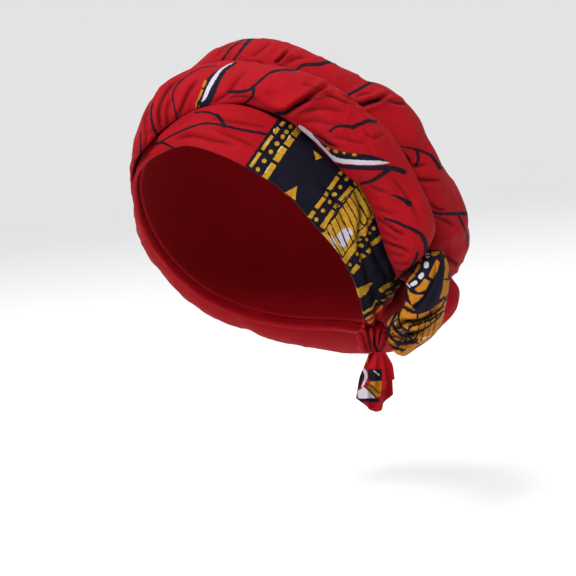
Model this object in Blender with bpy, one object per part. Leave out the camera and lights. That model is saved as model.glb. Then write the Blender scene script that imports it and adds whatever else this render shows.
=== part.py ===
"""Pre-tied head wrap: a cap, a flat band, two padded rolls, a pouch-shaped bow, a knot and two tails.

Metres, +Z up. The face looks along -Y and the wearer's left is +X. The origin is the inside of the cap
at the very top of the head, where the head carries the wrap.

Places on the wrap are given by two angles and a lift. The ring angle runs round the wrap: 0 over the
forehead, 90 at the wearer's left, 180 at the nape. The fall is the angle down from the crown's axis,
which leans back. The lift is the height above the head, along its outward normal.
"""
import math
from collections import namedtuple

import bmesh
import bpy
from mathutils import Vector

# The head that the wrap fits
HEAD_WIDTH = 0.150
HEAD_LENGTH = 0.188
HEAD_HEIGHT = 0.180
FRONT_NARROWING = 0.28
CROWN_TILT = 40.0

# Cloth walls and the clearance between touching pieces
CAP_WALL = 0.002
BAND_WALL = 0.002
TAIL_WALL = 0.002
SEAT_GAP = 0.0003

# The padded rolls, measured across
FRONT_ROLL_THICKNESS = 0.035
REAR_ROLL_THICKNESS = 0.034

# The band's edges, in degrees of fall
CAP_HEM = 4.0
BAND_TUCK = 2.0

# The bow puff, the knot and the tails
PUFF_WIDTH = 0.040
PUFF_THICKNESS = 0.027
KNOT_LENGTH = 0.022
KNOT_THICKNESS = 0.017
LONG_TAIL_LENGTH = 0.037
SHORT_TAIL_LENGTH = 0.024
LONG_TAIL_WIDTH = 0.022
SHORT_TAIL_WIDTH = 0.017
TAILS_APART = 0.0075
TAIL_RIPPLE = 0.0025
PLEAT_HEIGHT = 0.0025

# A degree round the ring or round a roll, as a share of the roll's thickness or of the band's height
ROLL_PER_RING = 0.055
ROLL_PER_SIDE = 0.0088
BAND_PER_RING = 0.045

# How finely each piece is faceted
CAP_SECTORS = 40
CAP_RINGS = 8
BAND_SECTORS = 72
BAND_ROWS = 6
ROLL_SECTORS = 84
FRONT_ROLL_SIDES = 20
REAR_ROLL_SIDES = 18
PUFF_SECTORS = 26
PUFF_SIDES = 18
KNOT_SECTORS = 12
KNOT_SIDES = 16
TAIL_ROWS = 9
TAIL_COLUMNS = 8
PUFF_STEP = 0.02

# Front roll: centre line's fall, width and height as shares of its thickness, at each ring angle
RollStation = namedtuple("RollStation", "ring fall width height")
FRONT_ROLL = (
    RollStation(-165, 96, 1.05, 1.06),
    RollStation(-140, 97, 1.05, 1.08),
    RollStation(-115, 96, 1.05, 0.98),
    RollStation(-92, 95, 1.00, 0.66),
    RollStation(-72, 92.8, 1.00, 0.29),
    RollStation(-52, 90.7, 1.01, 0.15),
    RollStation(-32, 89.9, 1.13, 0.15),
    RollStation(-15, 88.4, 1.27, 0.31),
    RollStation(0, 82.1, 1.28, 0.46),
    RollStation(12, 75.4, 1.14, 0.39),
    RollStation(26, 72, 0.96, 0.43),
    RollStation(42, 72, 0.80, 0.67),
    RollStation(57, 74.9, 0.87, 0.85),
    RollStation(72, 79.2, 0.95, 0.87),
    RollStation(79, 80.9, 0.84, 0.84),
    RollStation(86, 84, 0.85, 0.80),
    RollStation(97, 90, 0.92, 0.84),
    RollStation(104, 92.3, 0.95, 0.75),
    RollStation(110, 92.3, 0.88, 0.40),
    RollStation(117, 93.3, 0.77, 0.30),
    RollStation(125, 92.8, 0.60, 0.32),
    RollStation(131, 92.8, 0.68, 0.56),
    RollStation(137, 93.4, 0.85, 0.98),
    RollStation(148, 94.6, 0.93, 1.02),
    RollStation(172, 96, 1.05, 1.08),
)

# Rear roll: width and height as shares of its thickness. It lies against the front roll all round.
RearStation = namedtuple("RearStation", "ring width height")
REAR_ROLL = (
    RearStation(-150, 1.05, 1.15),
    RearStation(-115, 1.05, 1.05),
    RearStation(-92, 1.00, 0.75),
    RearStation(-70, 0.95, 0.48),
    RearStation(-40, 0.91, 0.29),
    RearStation(-15, 0.92, 0.24),
    RearStation(8, 0.97, 0.50),
    RearStation(30, 0.86, 0.57),
    RearStation(55, 0.93, 0.59),
    RearStation(80, 1.06, 0.84),
    RearStation(100, 1.00, 0.80),
    RearStation(125, 1.04, 0.93),
    RearStation(155, 1.04, 1.01),
)

# How square the rolls are pressed where they lie together: 1 is round
ROLL_SQUARENESS = 0.92

# Creases that cross a roll: where each starts and ends, as ring angle and angle round the roll
# (0 toward the face, 90 outward, 180 toward the crown), its depth and width as shares of the thickness
Crease = namedtuple("Crease", "ring_a side_a ring_b side_b depth width")
FRONT_CREASES = (
    Crease(30, -10, 52, 110, 0.10, 0.18),
    Crease(60, 150, 84, 60, 0.06, 0.16),
    Crease(92, 20, 108, 120, 0.07, 0.16),
    Crease(-2, -10, -30, 150, 0.09, 0.16),
    Crease(-14, -10, -48, 130, 0.08, 0.16),
    Crease(-26, -10, -70, 120, 0.07, 0.16),
    Crease(150, 0, 170, 150, 0.08, 0.18),
    Crease(-100, 0, -120, 150, 0.08, 0.18),
    Crease(-140, 10, -160, 150, 0.08, 0.18),
)
REAR_CREASES = (
    Crease(12, 30, 20, 170, 0.06, 0.16),
    Crease(58, 20, 66, 170, 0.10, 0.18),
    Crease(86, 20, 92, 170, 0.10, 0.18),
    Crease(122, 20, 128, 170, 0.11, 0.18),
    Crease(160, 20, 166, 170, 0.09, 0.18),
    Crease(-150, 20, -144, 170, 0.09, 0.18),
    Crease(-104, 20, -98, 170, 0.09, 0.18),
    Crease(-50, 20, -44, 170, 0.09, 0.18),
)

# Band: the fall of its lower edge; whether its top edge is tucked under the front roll (1) or stops
# at the roll's lower side (0); and how proud that edge stands, as a share of the roll's thickness
BandStation = namedtuple("BandStation", "ring lower tuck proud")
BAND = (
    BandStation(-150, 112, 1, 0.00),
    BandStation(-118, 114, 1, 0.00),
    BandStation(-88, 112, 1, 0.00),
    BandStation(-62, 109, 1, 0.00),
    BandStation(-44, 107, 1, 0.00),
    BandStation(-32, 105.2, 1, 0.00),
    BandStation(-22, 103.8, 1, 0.00),
    BandStation(-12, 102.3, 0.5, 0.00),
    BandStation(-3, 101, 0, 0.12),
    BandStation(12, 98, 0, 0.18),
    BandStation(28, 98, 0, 0.20),
    BandStation(42, 99, 0, 0.13),
    BandStation(52, 100, 0.5, 0.00),
    BandStation(62, 102, 1, 0.00),
    BandStation(75, 106, 1, 0.00),
    BandStation(88, 109, 1, 0.00),
    BandStation(103, 113, 1, 0.00),
    BandStation(120, 117, 1, 0.00),
    BandStation(138, 118, 1, 0.00),
    BandStation(156, 113, 1, 0.00),
    BandStation(178, 109, 1, 0.00),
)

# Bow puff: its centre line from the crease between the rolls down to the knot, and its width and
# thickness there as shares of the puff's
PuffStation = namedtuple("PuffStation", "along ring fall lift width thick")
PUFF = (
    PuffStation(0.00, 112, 90.2, 0.77, 0.22, 0.28),
    PuffStation(0.20, 113, 95.4, 0.81, 0.63, 0.71),
    PuffStation(0.40, 117, 100.6, 0.82, 0.86, 0.88),
    PuffStation(0.60, 121, 103.8, 0.85, 0.90, 0.84),
    PuffStation(0.80, 128, 109, 0.83, 0.80, 0.80),
    PuffStation(1.00, 137, 119.4, 0.42, 0.34, 0.54),
)

# Pleats of the band that draw in toward the knot, and the fold where it crosses over at the front:
# ring angle and height up the band at each end, and how high and how wide each stands
Pleat = namedtuple("Pleat", "ring_a share_a ring_b share_b height width")
BAND_PLEATS = (
    Pleat(110, 0.62, 131, 0.30, 0.9, 0.10),
    Pleat(112, 0.38, 131, 0.18, 1.0, 0.10),
    Pleat(114, 0.12, 131, 0.06, 0.9, 0.10),
    Pleat(146, 0.30, 166, 0.45, 0.8, 0.12),
    Pleat(146, 0.14, 166, 0.18, 0.8, 0.12),
    Pleat(2, 0.42, 28, 0.58, 0.5, 0.16),
)

# Where the knot sits, and how far its gathers and its tails are turned
KNOT_RING = 138.0
KNOT_FALL = 117.0
KNOT_PLEATS = 5
KNOT_PLEAT_SHARE = 0.10
TAIL_TURN = 78.0

# A tail from the knot down: how far it has spread, and how far it stands away from the neck, as
# shares of its own width and length
TailStation = namedtuple("TailStation", "along spread away")
TAIL = (
    TailStation(0.00, 0.36, 0.00),
    TailStation(0.25, 0.62, -0.02),
    TailStation(0.55, 0.90, -0.07),
    TailStation(1.00, 1.00, -0.16),
)
TAIL_CORNER_RISE = 0.26

Finish = namedtuple("Finish", "name colour roughness")
RED_COTTON = Finish("red_wax_print_cotton", (0.49, 0.010, 0.026, 1.0), 0.75)
BORDER_COTTON = Finish("border_print_cotton", (0.55, 0.31, 0.03, 1.0), 0.75)
CAP_COTTON = Finish("cap_cotton", (0.40, 0.008, 0.020, 1.0), 0.80)


def clear_scene():
    for item in list(bpy.data.objects):
        bpy.data.objects.remove(item, do_unlink=True)


def cotton(finish):
    material = bpy.data.materials.get(finish.name) or bpy.data.materials.new(finish.name)
    material.use_nodes = True
    shader = material.node_tree.nodes["Principled BSDF"]
    shader.inputs["Base Color"].default_value = finish.colour
    shader.inputs["Roughness"].default_value = finish.roughness
    shader.inputs["Metallic"].default_value = 0.0
    material.diffuse_color = finish.colour
    return material


def hermite(left, right, slope_left, slope_right, share, span):
    """Cubic between two values with the given slopes."""
    square = share * share
    cube = square * share
    return (
        (2 * cube - 3 * square + 1) * left
        + (cube - 2 * square + share) * slope_left * span
        + (3 * square - 2 * cube) * right
        + (cube - square) * slope_right * span
    )


def read_round(rows, column, ring):
    """A column of a table that closes on itself, read smoothly at a ring angle."""
    count = len(rows)

    def place(index):
        return rows[index % count].ring + 360.0 * (index // count)

    def value(index):
        return getattr(rows[index % count], column)

    def slope(index):
        return (value(index + 1) - value(index - 1)) / (place(index + 1) - place(index - 1))

    angle = (ring - rows[0].ring) % 360.0 + rows[0].ring
    index = 0
    while place(index + 1) <= angle:
        index += 1
    span = place(index + 1) - place(index)
    share = (angle - place(index)) / span
    return hermite(value(index), value(index + 1), slope(index), slope(index + 1), share, span)


def read_along(rows, column, along):
    """A column of a table with two ends, read smoothly at a share of its length."""
    last = len(rows) - 1

    def slope(index):
        low = max(index - 1, 0)
        high = min(index + 1, last)
        rise = getattr(rows[high], column) - getattr(rows[low], column)
        return rise / (rows[high].along - rows[low].along)

    index = 0
    while index < last - 1 and rows[index + 1].along <= along:
        index += 1
    span = rows[index + 1].along - rows[index].along
    share = (along - rows[index].along) / span
    ends = getattr(rows[index], column), getattr(rows[index + 1], column)
    return hermite(*ends, slope(index), slope(index + 1), share, span)


def head_point(ring, fall, lift):
    """The point at a ring angle and fall, a lift above the head."""
    round_angle = math.radians(ring)
    down = math.radians(fall)
    tilt = math.radians(CROWN_TILT)
    across = math.sin(down) * math.sin(round_angle)
    forward = math.sin(down) * math.cos(round_angle)
    up = math.cos(down)
    back = up * math.sin(tilt) - forward * math.cos(tilt)
    rise = forward * math.sin(tilt) + up * math.cos(tilt)
    half = Vector((HEAD_WIDTH, HEAD_LENGTH, HEAD_HEIGHT)) / 2
    skin = Vector((
        half.x * across * (1 + FRONT_NARROWING * back),
        half.y * back,
        half.z * (rise - 1),
    ))
    normal = Vector((across / half.x, back / half.y, rise / half.z)).normalized()
    return skin + normal * lift


def degrees_of_fall(length, ring, fall, lift):
    """How many degrees of fall a length covers at a place."""
    step = 0.5
    near = head_point(ring, fall - step, lift)
    far = head_point(ring, fall + step, lift)
    return length / ((far - near).length / (2 * step))


def rounded(angle, power):
    """Cosine and sine of an angle, squared off by a power under 1."""
    cosine = math.cos(angle)
    sine = math.sin(angle)
    return (
        math.copysign(abs(cosine) ** power, cosine),
        math.copysign(abs(sine) ** power, sine),
    )


def crease_depth(creases, ring, side):
    """How far the creases pull the surface in at a place on a roll, as a share of its thickness."""
    depth = 0.0
    for crease in creases:
        along_ring = (crease.ring_b - crease.ring_a) * ROLL_PER_RING
        along_side = (crease.side_b - crease.side_a) * ROLL_PER_SIDE
        from_ring = ((ring - crease.ring_a + 180.0) % 360.0 - 180.0) * ROLL_PER_RING
        from_side = ((side - crease.side_a + 100.0) % 360.0 - 100.0) * ROLL_PER_SIDE
        square = along_ring ** 2 + along_side ** 2
        share = (from_ring * along_ring + from_side * along_side) / square
        share = min(max(share, 0.0), 1.0)
        distance = math.hypot(from_ring - share * along_ring, from_side - share * along_side)
        depth += crease.depth * math.exp(-(distance / crease.width) ** 2)
    return depth


def band_lift():
    return CAP_WALL + SEAT_GAP


def front_roll_seat():
    return band_lift() + BAND_WALL + SEAT_GAP


def front_roll_fall(ring):
    return read_round(FRONT_ROLL, "fall", ring)


def front_roll_middle(ring):
    """The lift of the front roll's middle."""
    return front_roll_seat() + FRONT_ROLL_THICKNESS * read_round(FRONT_ROLL, "height", ring) / 2


def rear_roll_middle(ring):
    return band_lift() + REAR_ROLL_THICKNESS * read_round(REAR_ROLL, "height", ring) / 2


def front_roll_point(ring, side):
    """A point on the front roll: side 0 faces the band's lower edge, 90 outward."""
    half = FRONT_ROLL_THICKNESS * read_round(FRONT_ROLL, "width", ring) / 2
    crease = crease_depth(FRONT_CREASES, ring, side)
    return roll_point(ring, side, front_roll_fall(ring), half, front_roll_middle(ring),
                      front_roll_seat(), crease)


def rear_roll_fall(ring):
    """The rear roll's centre line: it lies beside the front roll, a seat gap away."""
    front = front_roll_fall(ring)
    front_half = FRONT_ROLL_THICKNESS * read_round(FRONT_ROLL, "width", ring) / 2
    edge = front - degrees_of_fall(front_half, ring, front, front_roll_middle(ring))
    rear_half = REAR_ROLL_THICKNESS * read_round(REAR_ROLL, "width", ring) / 2
    rear = edge
    for _ in range(4):
        rear = edge - degrees_of_fall(rear_half + SEAT_GAP, ring, rear, rear_roll_middle(ring))
    return rear


def rear_roll_point(ring, side):
    half = REAR_ROLL_THICKNESS * read_round(REAR_ROLL, "width", ring) / 2
    crease = crease_depth(REAR_CREASES, ring, side)
    return roll_point(ring, side, rear_roll_fall(ring), half, rear_roll_middle(ring),
                      band_lift(), crease)


def roll_point(ring, side, fall, half, middle, seat, crease):
    """A point on a roll, from its centre line, half width, middle and seat."""
    cosine, sine = rounded(math.radians(side), ROLL_SQUARENESS)
    shrink = 1.0 - crease
    lift = middle + (middle - seat) * sine * (shrink if sine > 0 else 1.0)
    across = degrees_of_fall(half, ring, fall, middle) * cosine * shrink
    return head_point(ring, fall + across, lift)


def band_top(ring):
    """The fall of the band's top edge: tucked under the front roll, or just below its lower side."""
    width = FRONT_ROLL_THICKNESS * read_round(FRONT_ROLL, "width", ring)
    centre = front_roll_fall(ring)
    below = centre + degrees_of_fall(width / 2 + SEAT_GAP, ring, centre, front_roll_middle(ring))
    tuck = min(max(read_round(BAND, "tuck", ring), 0.0), 1.0)
    return below + (centre - BAND_TUCK - below) * tuck


def band_point(ring, share, outer):
    """A point on the band: share 0 at its lower edge, 1 at its top edge."""
    lower = read_round(BAND, "lower", ring)
    fall = lower + (band_top(ring) - lower) * share
    proud = FRONT_ROLL_THICKNESS * max(read_round(BAND, "proud", ring), 0.0) * share ** 2
    lift = band_lift() + proud + pleat_height(ring, share)
    return head_point(ring, fall, lift + (BAND_WALL if outer else 0.0))


def pleat_height(ring, share):
    """How high the band's pleats stand at a place."""
    height = 0.0
    for pleat in BAND_PLEATS:
        along_ring = (pleat.ring_b - pleat.ring_a) * BAND_PER_RING
        along_share = pleat.share_b - pleat.share_a
        from_ring = ((ring - pleat.ring_a + 180.0) % 360.0 - 180.0) * BAND_PER_RING
        from_share = share - pleat.share_a
        square = along_ring ** 2 + along_share ** 2
        part = (from_ring * along_ring + from_share * along_share) / square
        part = min(max(part, 0.0), 1.0)
        distance = math.hypot(from_ring - part * along_ring, from_share - part * along_share)
        height += PLEAT_HEIGHT * pleat.height * math.exp(-(distance / pleat.width) ** 2)
    return height


def cap_point(ring, share, outer):
    """A point on the cap: share 0 at the crown's axis, 1 at its hem under the band."""
    hem = read_round(BAND, "lower", ring) - CAP_HEM
    return head_point(ring, hem * share, CAP_WALL if outer else 0.0)


def puff_centre(along):
    lift = FRONT_ROLL_THICKNESS * read_along(PUFF, "lift", along)
    return head_point(read_along(PUFF, "ring", along), read_along(PUFF, "fall", along), lift)


def puff_heading(place):
    """The way the puff's centre line runs at a place."""
    ahead = puff_centre(min(place + PUFF_STEP, 1.0)) - puff_centre(max(place - PUFF_STEP, 0.0))
    return ahead.normalized()


def puff_end():
    """The share of the puff's centre line where its flat end lies a seat gap from the knot."""
    low = 0.5
    high = 1.0
    for _ in range(30):
        middle = (low + high) / 2
        back = -puff_heading(middle)
        apart = (puff_centre(middle) - knot_centre()).dot(back)
        if apart > knot_reach(back) + SEAT_GAP:
            low = middle
        else:
            high = middle
    return low


def puff_point(along, side):
    """A point on the bow puff: along 0 at its upper end, 1 at the knot, side 90 outward."""
    place = along * puff_end()
    ring = read_along(PUFF, "ring", place)
    fall = read_along(PUFF, "fall", place)
    width = PUFF_WIDTH * read_along(PUFF, "width", place)
    thick = PUFF_THICKNESS * read_along(PUFF, "thick", place)
    ahead = puff_heading(place)
    sideways = ahead.cross(outward_at(ring, fall)).normalized()
    outward = sideways.cross(ahead).normalized()
    angle = math.radians(side)
    reach = sideways * (width / 2 * math.cos(angle)) + outward * (thick / 2 * math.sin(angle))
    return puff_centre(place) + reach


def outward_at(ring, fall):
    return (head_point(ring, fall, 1.0) - head_point(ring, fall, 0.0)).normalized()


def knot_centre():
    """The knot lies on the band, a seat gap above its cloth."""
    outward = outward_at(KNOT_RING, KNOT_FALL)
    lift = band_lift() + BAND_WALL + SEAT_GAP + knot_reach(-outward)
    return head_point(KNOT_RING, KNOT_FALL, lift)


def knot_offset(along, side):
    """A point on the knot from its centre: along from pole to pole, side round it, with its gathers."""
    outward = outward_at(KNOT_RING, KNOT_FALL)
    axis = head_point(KNOT_RING + 1, KNOT_FALL, 0.0) - head_point(KNOT_RING - 1, KNOT_FALL, 0.0)
    axis = axis.normalized()
    sideways = axis.cross(outward).normalized()
    polar = math.pi * along
    angle = math.radians(side)
    radius = math.sin(polar) * (1 + KNOT_PLEAT_SHARE * math.cos(KNOT_PLEATS * angle)) / 2
    return (
        outward * (KNOT_THICKNESS * radius * math.sin(angle))
        + sideways * (KNOT_LENGTH * radius * math.cos(angle))
        - axis * (KNOT_THICKNESS / 2 * math.cos(polar))
    )


def knot_grid():
    """The knot's points between its poles."""
    offsets = []
    for i in range(1, KNOT_SECTORS):
        for k in range(KNOT_SIDES):
            offsets.append(knot_offset(i / KNOT_SECTORS, 360.0 * k / KNOT_SIDES))
    return offsets


def knot_reach(direction):
    """How far the knot reaches from its centre in a direction."""
    return max(offset.dot(direction) for offset in knot_grid())


def knot_underside(shift):
    """How far below the knot's centre its underside lies over a tail, a shift to one side."""
    reach = knot_reach(Vector((0.0, 0.0, -1.0)))
    inner = max(shift - TAIL_WALL, 0.0)
    return reach * math.sqrt(1 - min(inner / reach, 1.0) ** 2)


def tail_point(length, width, turn, shift, along, across, face):
    """A point on a tail: across -1 to 1 from edge to edge, face -1 at the back and 1 in front."""
    heading = math.radians(KNOT_RING - turn)
    away = Vector((math.sin(heading), -math.cos(heading), 0.0))
    sideways = Vector((math.cos(heading), math.sin(heading), 0.0))
    down = Vector((0.0, 0.0, -1.0))
    top = knot_centre() + away * shift + down * (knot_underside(shift) + SEAT_GAP)
    reach = length * along * (1 - TAIL_CORNER_RISE * abs(across) ** 1.5)
    ripple = TAIL_RIPPLE * math.sin(2.4 * math.pi * across) * along
    stand = length * read_along(TAIL, "away", along) + ripple + face * TAIL_WALL / 2
    spread = width / 2 * read_along(TAIL, "spread", along) * across
    return top + down * reach + away * stand + sideways * spread


def add_object(name, rows, faces, finish, smooth=True):
    """One object from points and faces, with its faces turned outward."""
    mesh = bpy.data.meshes.new(name)
    shape = bmesh.new()
    points = [shape.verts.new(point) for point in rows]
    for face in faces:
        shape.faces.new([points[index] for index in face])
    bmesh.ops.recalc_face_normals(shape, faces=shape.faces)
    if shape.calc_volume(signed=True) < 0:
        bmesh.ops.reverse_faces(shape, faces=shape.faces)
    shape.to_mesh(mesh)
    shape.free()
    mesh.materials.append(cotton(finish))
    if smooth:
        mesh.shade_smooth()
        mesh.set_sharp_from_angle(angle=math.radians(50))
    item = bpy.data.objects.new(name, mesh)
    bpy.context.scene.collection.objects.link(item)
    return item


def closed_grid(rounds, sides, loop_rounds):
    """Faces of a tube of points: rounds sections of sides points; open tubes get end caps."""
    faces = []
    spans = rounds if loop_rounds else rounds - 1
    for i in range(spans):
        j = (i + 1) % rounds
        for k in range(sides):
            m = (k + 1) % sides
            faces.append((i * sides + k, i * sides + m, j * sides + m, j * sides + k))
    if not loop_rounds:
        faces.append(tuple(range(sides)))
        faces.append(tuple(range((rounds - 1) * sides, rounds * sides)))
    return faces


def build_roll(name, sides, point_at):
    points = []
    for i in range(ROLL_SECTORS):
        ring = 360.0 * i / ROLL_SECTORS
        for k in range(sides):
            points.append(point_at(ring, 360.0 * k / sides))
    return add_object(name, points, closed_grid(ROLL_SECTORS, sides, True), RED_COTTON)


def build_band():
    points = []
    for i in range(BAND_SECTORS):
        ring = 360.0 * i / BAND_SECTORS
        for k in range(BAND_ROWS + 1):
            points.append(band_point(ring, k / BAND_ROWS, True))
        for k in range(BAND_ROWS, -1, -1):
            points.append(band_point(ring, k / BAND_ROWS, False))
    sides = 2 * (BAND_ROWS + 1)
    return add_object("head_band", points, closed_grid(BAND_SECTORS, sides, True), BORDER_COTTON)


def build_cap():
    """A dome with a wall: the outer skin, the hem and the inner skin."""
    points = [cap_point(0.0, 0.0, True), cap_point(0.0, 0.0, False)]
    for outer in (True, False):
        for k in range(1, CAP_RINGS + 1):
            for i in range(CAP_SECTORS):
                points.append(cap_point(360.0 * i / CAP_SECTORS, k / CAP_RINGS, outer))

    def place(outer, k, i):
        skin = 0 if outer else CAP_RINGS * CAP_SECTORS
        return 2 + skin + (k - 1) * CAP_SECTORS + i % CAP_SECTORS

    faces = []
    for i in range(CAP_SECTORS):
        faces.append((0, place(True, 1, i), place(True, 1, i + 1)))
        faces.append((1, place(False, 1, i + 1), place(False, 1, i)))
        for k in range(1, CAP_RINGS):
            faces.append((place(True, k, i), place(True, k + 1, i),
                          place(True, k + 1, i + 1), place(True, k, i + 1)))
            faces.append((place(False, k, i + 1), place(False, k + 1, i + 1),
                          place(False, k + 1, i), place(False, k, i)))
        faces.append((place(True, CAP_RINGS, i), place(False, CAP_RINGS, i),
                      place(False, CAP_RINGS, i + 1), place(True, CAP_RINGS, i + 1)))
    return add_object("crown_cap", points, faces, CAP_COTTON)


def build_puff():
    points = []
    for i in range(PUFF_SECTORS):
        for k in range(PUFF_SIDES):
            points.append(puff_point(i / (PUFF_SECTORS - 1), 360.0 * k / PUFF_SIDES))
    faces = closed_grid(PUFF_SECTORS, PUFF_SIDES, False)
    return add_object("bow_puff", points, faces, BORDER_COTTON)


def build_knot():
    centre = knot_centre()
    offsets = [knot_offset(0.0, 0.0), knot_offset(1.0, 0.0)] + knot_grid()
    points = [centre + offset for offset in offsets]

    def place(i, k):
        return 2 + (i - 1) * KNOT_SIDES + k % KNOT_SIDES

    faces = []
    for k in range(KNOT_SIDES):
        faces.append((0, place(1, k), place(1, k + 1)))
        faces.append((1, place(KNOT_SECTORS - 1, k + 1), place(KNOT_SECTORS - 1, k)))
        for i in range(1, KNOT_SECTORS - 1):
            faces.append((place(i, k), place(i + 1, k), place(i + 1, k + 1), place(i, k + 1)))
    return add_object("tie_knot", points, faces, RED_COTTON)


def build_tail(name, length, width, turn, shift, finish):
    points = []
    for i in range(TAIL_ROWS):
        along = i / (TAIL_ROWS - 1)
        for face in (1, -1):
            for k in range(TAIL_COLUMNS + 1):
                across = face * (2 * k / TAIL_COLUMNS - 1)
                points.append(tail_point(length, width, turn, shift, along, across, face))
    faces = closed_grid(TAIL_ROWS, 2 * (TAIL_COLUMNS + 1), False)
    return add_object(name, points, faces, finish)


def main():
    clear_scene()
    build_cap()
    build_band()
    build_roll("front_roll", FRONT_ROLL_SIDES, front_roll_point)
    build_roll("rear_roll", REAR_ROLL_SIDES, rear_roll_point)
    build_puff()
    build_knot()
    build_tail("tie_tail_long", LONG_TAIL_LENGTH, LONG_TAIL_WIDTH, TAIL_TURN, 0.0, BORDER_COTTON)
    build_tail("tie_tail_short", SHORT_TAIL_LENGTH, SHORT_TAIL_WIDTH, TAIL_TURN,
               TAILS_APART, RED_COTTON)


main()
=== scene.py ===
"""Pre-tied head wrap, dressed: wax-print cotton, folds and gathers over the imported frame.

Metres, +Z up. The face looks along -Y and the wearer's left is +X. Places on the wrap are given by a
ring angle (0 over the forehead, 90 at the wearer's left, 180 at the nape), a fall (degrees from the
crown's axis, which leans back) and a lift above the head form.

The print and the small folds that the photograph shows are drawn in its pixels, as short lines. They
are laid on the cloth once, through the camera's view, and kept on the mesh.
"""
import math
from collections import namedtuple

import bpy
import numpy as np
from mathutils import Matrix, Vector


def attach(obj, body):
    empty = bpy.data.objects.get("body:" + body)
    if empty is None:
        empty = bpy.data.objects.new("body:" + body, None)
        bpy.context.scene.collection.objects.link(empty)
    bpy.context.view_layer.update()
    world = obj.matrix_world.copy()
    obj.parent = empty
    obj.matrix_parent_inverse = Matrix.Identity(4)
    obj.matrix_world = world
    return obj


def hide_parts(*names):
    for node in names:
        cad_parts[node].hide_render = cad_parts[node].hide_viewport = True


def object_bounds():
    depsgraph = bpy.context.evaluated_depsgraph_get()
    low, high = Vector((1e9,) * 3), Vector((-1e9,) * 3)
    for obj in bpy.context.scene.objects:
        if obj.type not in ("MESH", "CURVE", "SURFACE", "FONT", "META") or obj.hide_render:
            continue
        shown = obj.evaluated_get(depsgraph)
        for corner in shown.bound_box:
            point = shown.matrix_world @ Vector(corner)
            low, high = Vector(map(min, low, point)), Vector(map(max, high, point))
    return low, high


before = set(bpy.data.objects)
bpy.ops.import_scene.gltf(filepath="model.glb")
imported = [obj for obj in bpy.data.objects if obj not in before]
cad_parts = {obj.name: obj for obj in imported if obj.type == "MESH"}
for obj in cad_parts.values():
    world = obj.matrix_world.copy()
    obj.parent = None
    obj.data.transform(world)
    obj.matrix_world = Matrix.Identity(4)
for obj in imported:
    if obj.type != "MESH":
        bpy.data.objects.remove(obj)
cad_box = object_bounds()

# The head that the wrap fits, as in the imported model
HEAD_WIDTH = 0.150
HEAD_LENGTH = 0.188
HEAD_HEIGHT = 0.180
FRONT_NARROWING = 0.28
CROWN_TILT = 40.0

# Cloth walls, clearances and padded sizes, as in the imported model
CAP_WALL = 0.002
BAND_WALL = 0.002
TAIL_WALL = 0.002
SEAT_GAP = 0.0003
FRONT_ROLL_THICKNESS = 0.035
REAR_ROLL_THICKNESS = 0.034
ROLL_SQUARENESS = 0.92
CAP_HEM = 4.0
BAND_TUCK = 2.0
PUFF_WIDTH = 0.040
PUFF_THICKNESS = 0.027
KNOT_LENGTH = 0.022
KNOT_THICKNESS = 0.017
KNOT_RING = 138.0
KNOT_FALL = 117.0
KNOT_PLEATS = 5
KNOT_PLEAT_SHARE = 0.10
LONG_TAIL_LENGTH = 0.037
SHORT_TAIL_LENGTH = 0.024
LONG_TAIL_WIDTH = 0.022
SHORT_TAIL_WIDTH = 0.017
TAILS_APART = 0.0075
TAIL_TURN = 78.0
TAIL_RIPPLE = 0.0025
TAIL_CORNER_RISE = 0.26
PLEAT_HEIGHT = 0.0025
ROLL_PER_RING = 0.055
ROLL_PER_SIDE = 0.0088
BAND_PER_RING = 0.045
PUFF_STEP = 0.02
# How high above the head the band lies, and what rests on the band
BAND_LIFT = CAP_WALL + SEAT_GAP
ON_BAND_LIFT = BAND_LIFT + BAND_WALL + SEAT_GAP

# The photograph's view: where the camera stands, and what a pixel is worth at the target
CAMERA_AZIMUTH = 40.0
CAMERA_ELEVATION = 6.0
CAMERA_LEAN = 5.0
CAMERA_DISTANCE = 1.1
TARGET = Vector((0.0, 0.0, -0.112))
TARGET_PIXEL = (270.0, 249.0)
FRAME_PIXELS = 576
METRES_PER_PIXEL = 0.00061
SENSOR = 36.0


def rows(kind, *values):
    """A table: one row of a kind for each set of values."""
    return tuple(kind(*row) for row in values)


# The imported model's tables: angles in degrees, widths, heights and lifts as shares of the piece's
# thickness, and depths as shares of the roll's
RollStation = namedtuple("RollStation", "ring fall width height")
FRONT_ROLL = rows(
    RollStation,
    (-165, 96, 1.05, 1.06),
    (-140, 97, 1.05, 1.08),
    (-115, 96, 1.05, 0.98),
    (-92, 95, 1.00, 0.66),
    (-72, 92.8, 1.00, 0.29),
    (-52, 90.7, 1.01, 0.15),
    (-32, 89.9, 1.13, 0.15),
    (-15, 88.4, 1.27, 0.31),
    (0, 82.1, 1.28, 0.46),
    (12, 75.4, 1.14, 0.39),
    (26, 72, 0.96, 0.43),
    (42, 72, 0.80, 0.67),
    (57, 74.9, 0.87, 0.85),
    (72, 79.2, 0.95, 0.87),
    (79, 80.9, 0.84, 0.84),
    (86, 84, 0.85, 0.80),
    (97, 90, 0.92, 0.84),
    (104, 92.3, 0.95, 0.75),
    (110, 92.3, 0.88, 0.40),
    (117, 93.3, 0.77, 0.30),
    (125, 92.8, 0.60, 0.32),
    (131, 92.8, 0.68, 0.56),
    (137, 93.4, 0.85, 0.98),
    (148, 94.6, 0.93, 1.02),
    (172, 96, 1.05, 1.08),
)
RearStation = namedtuple("RearStation", "ring width height")
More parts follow.
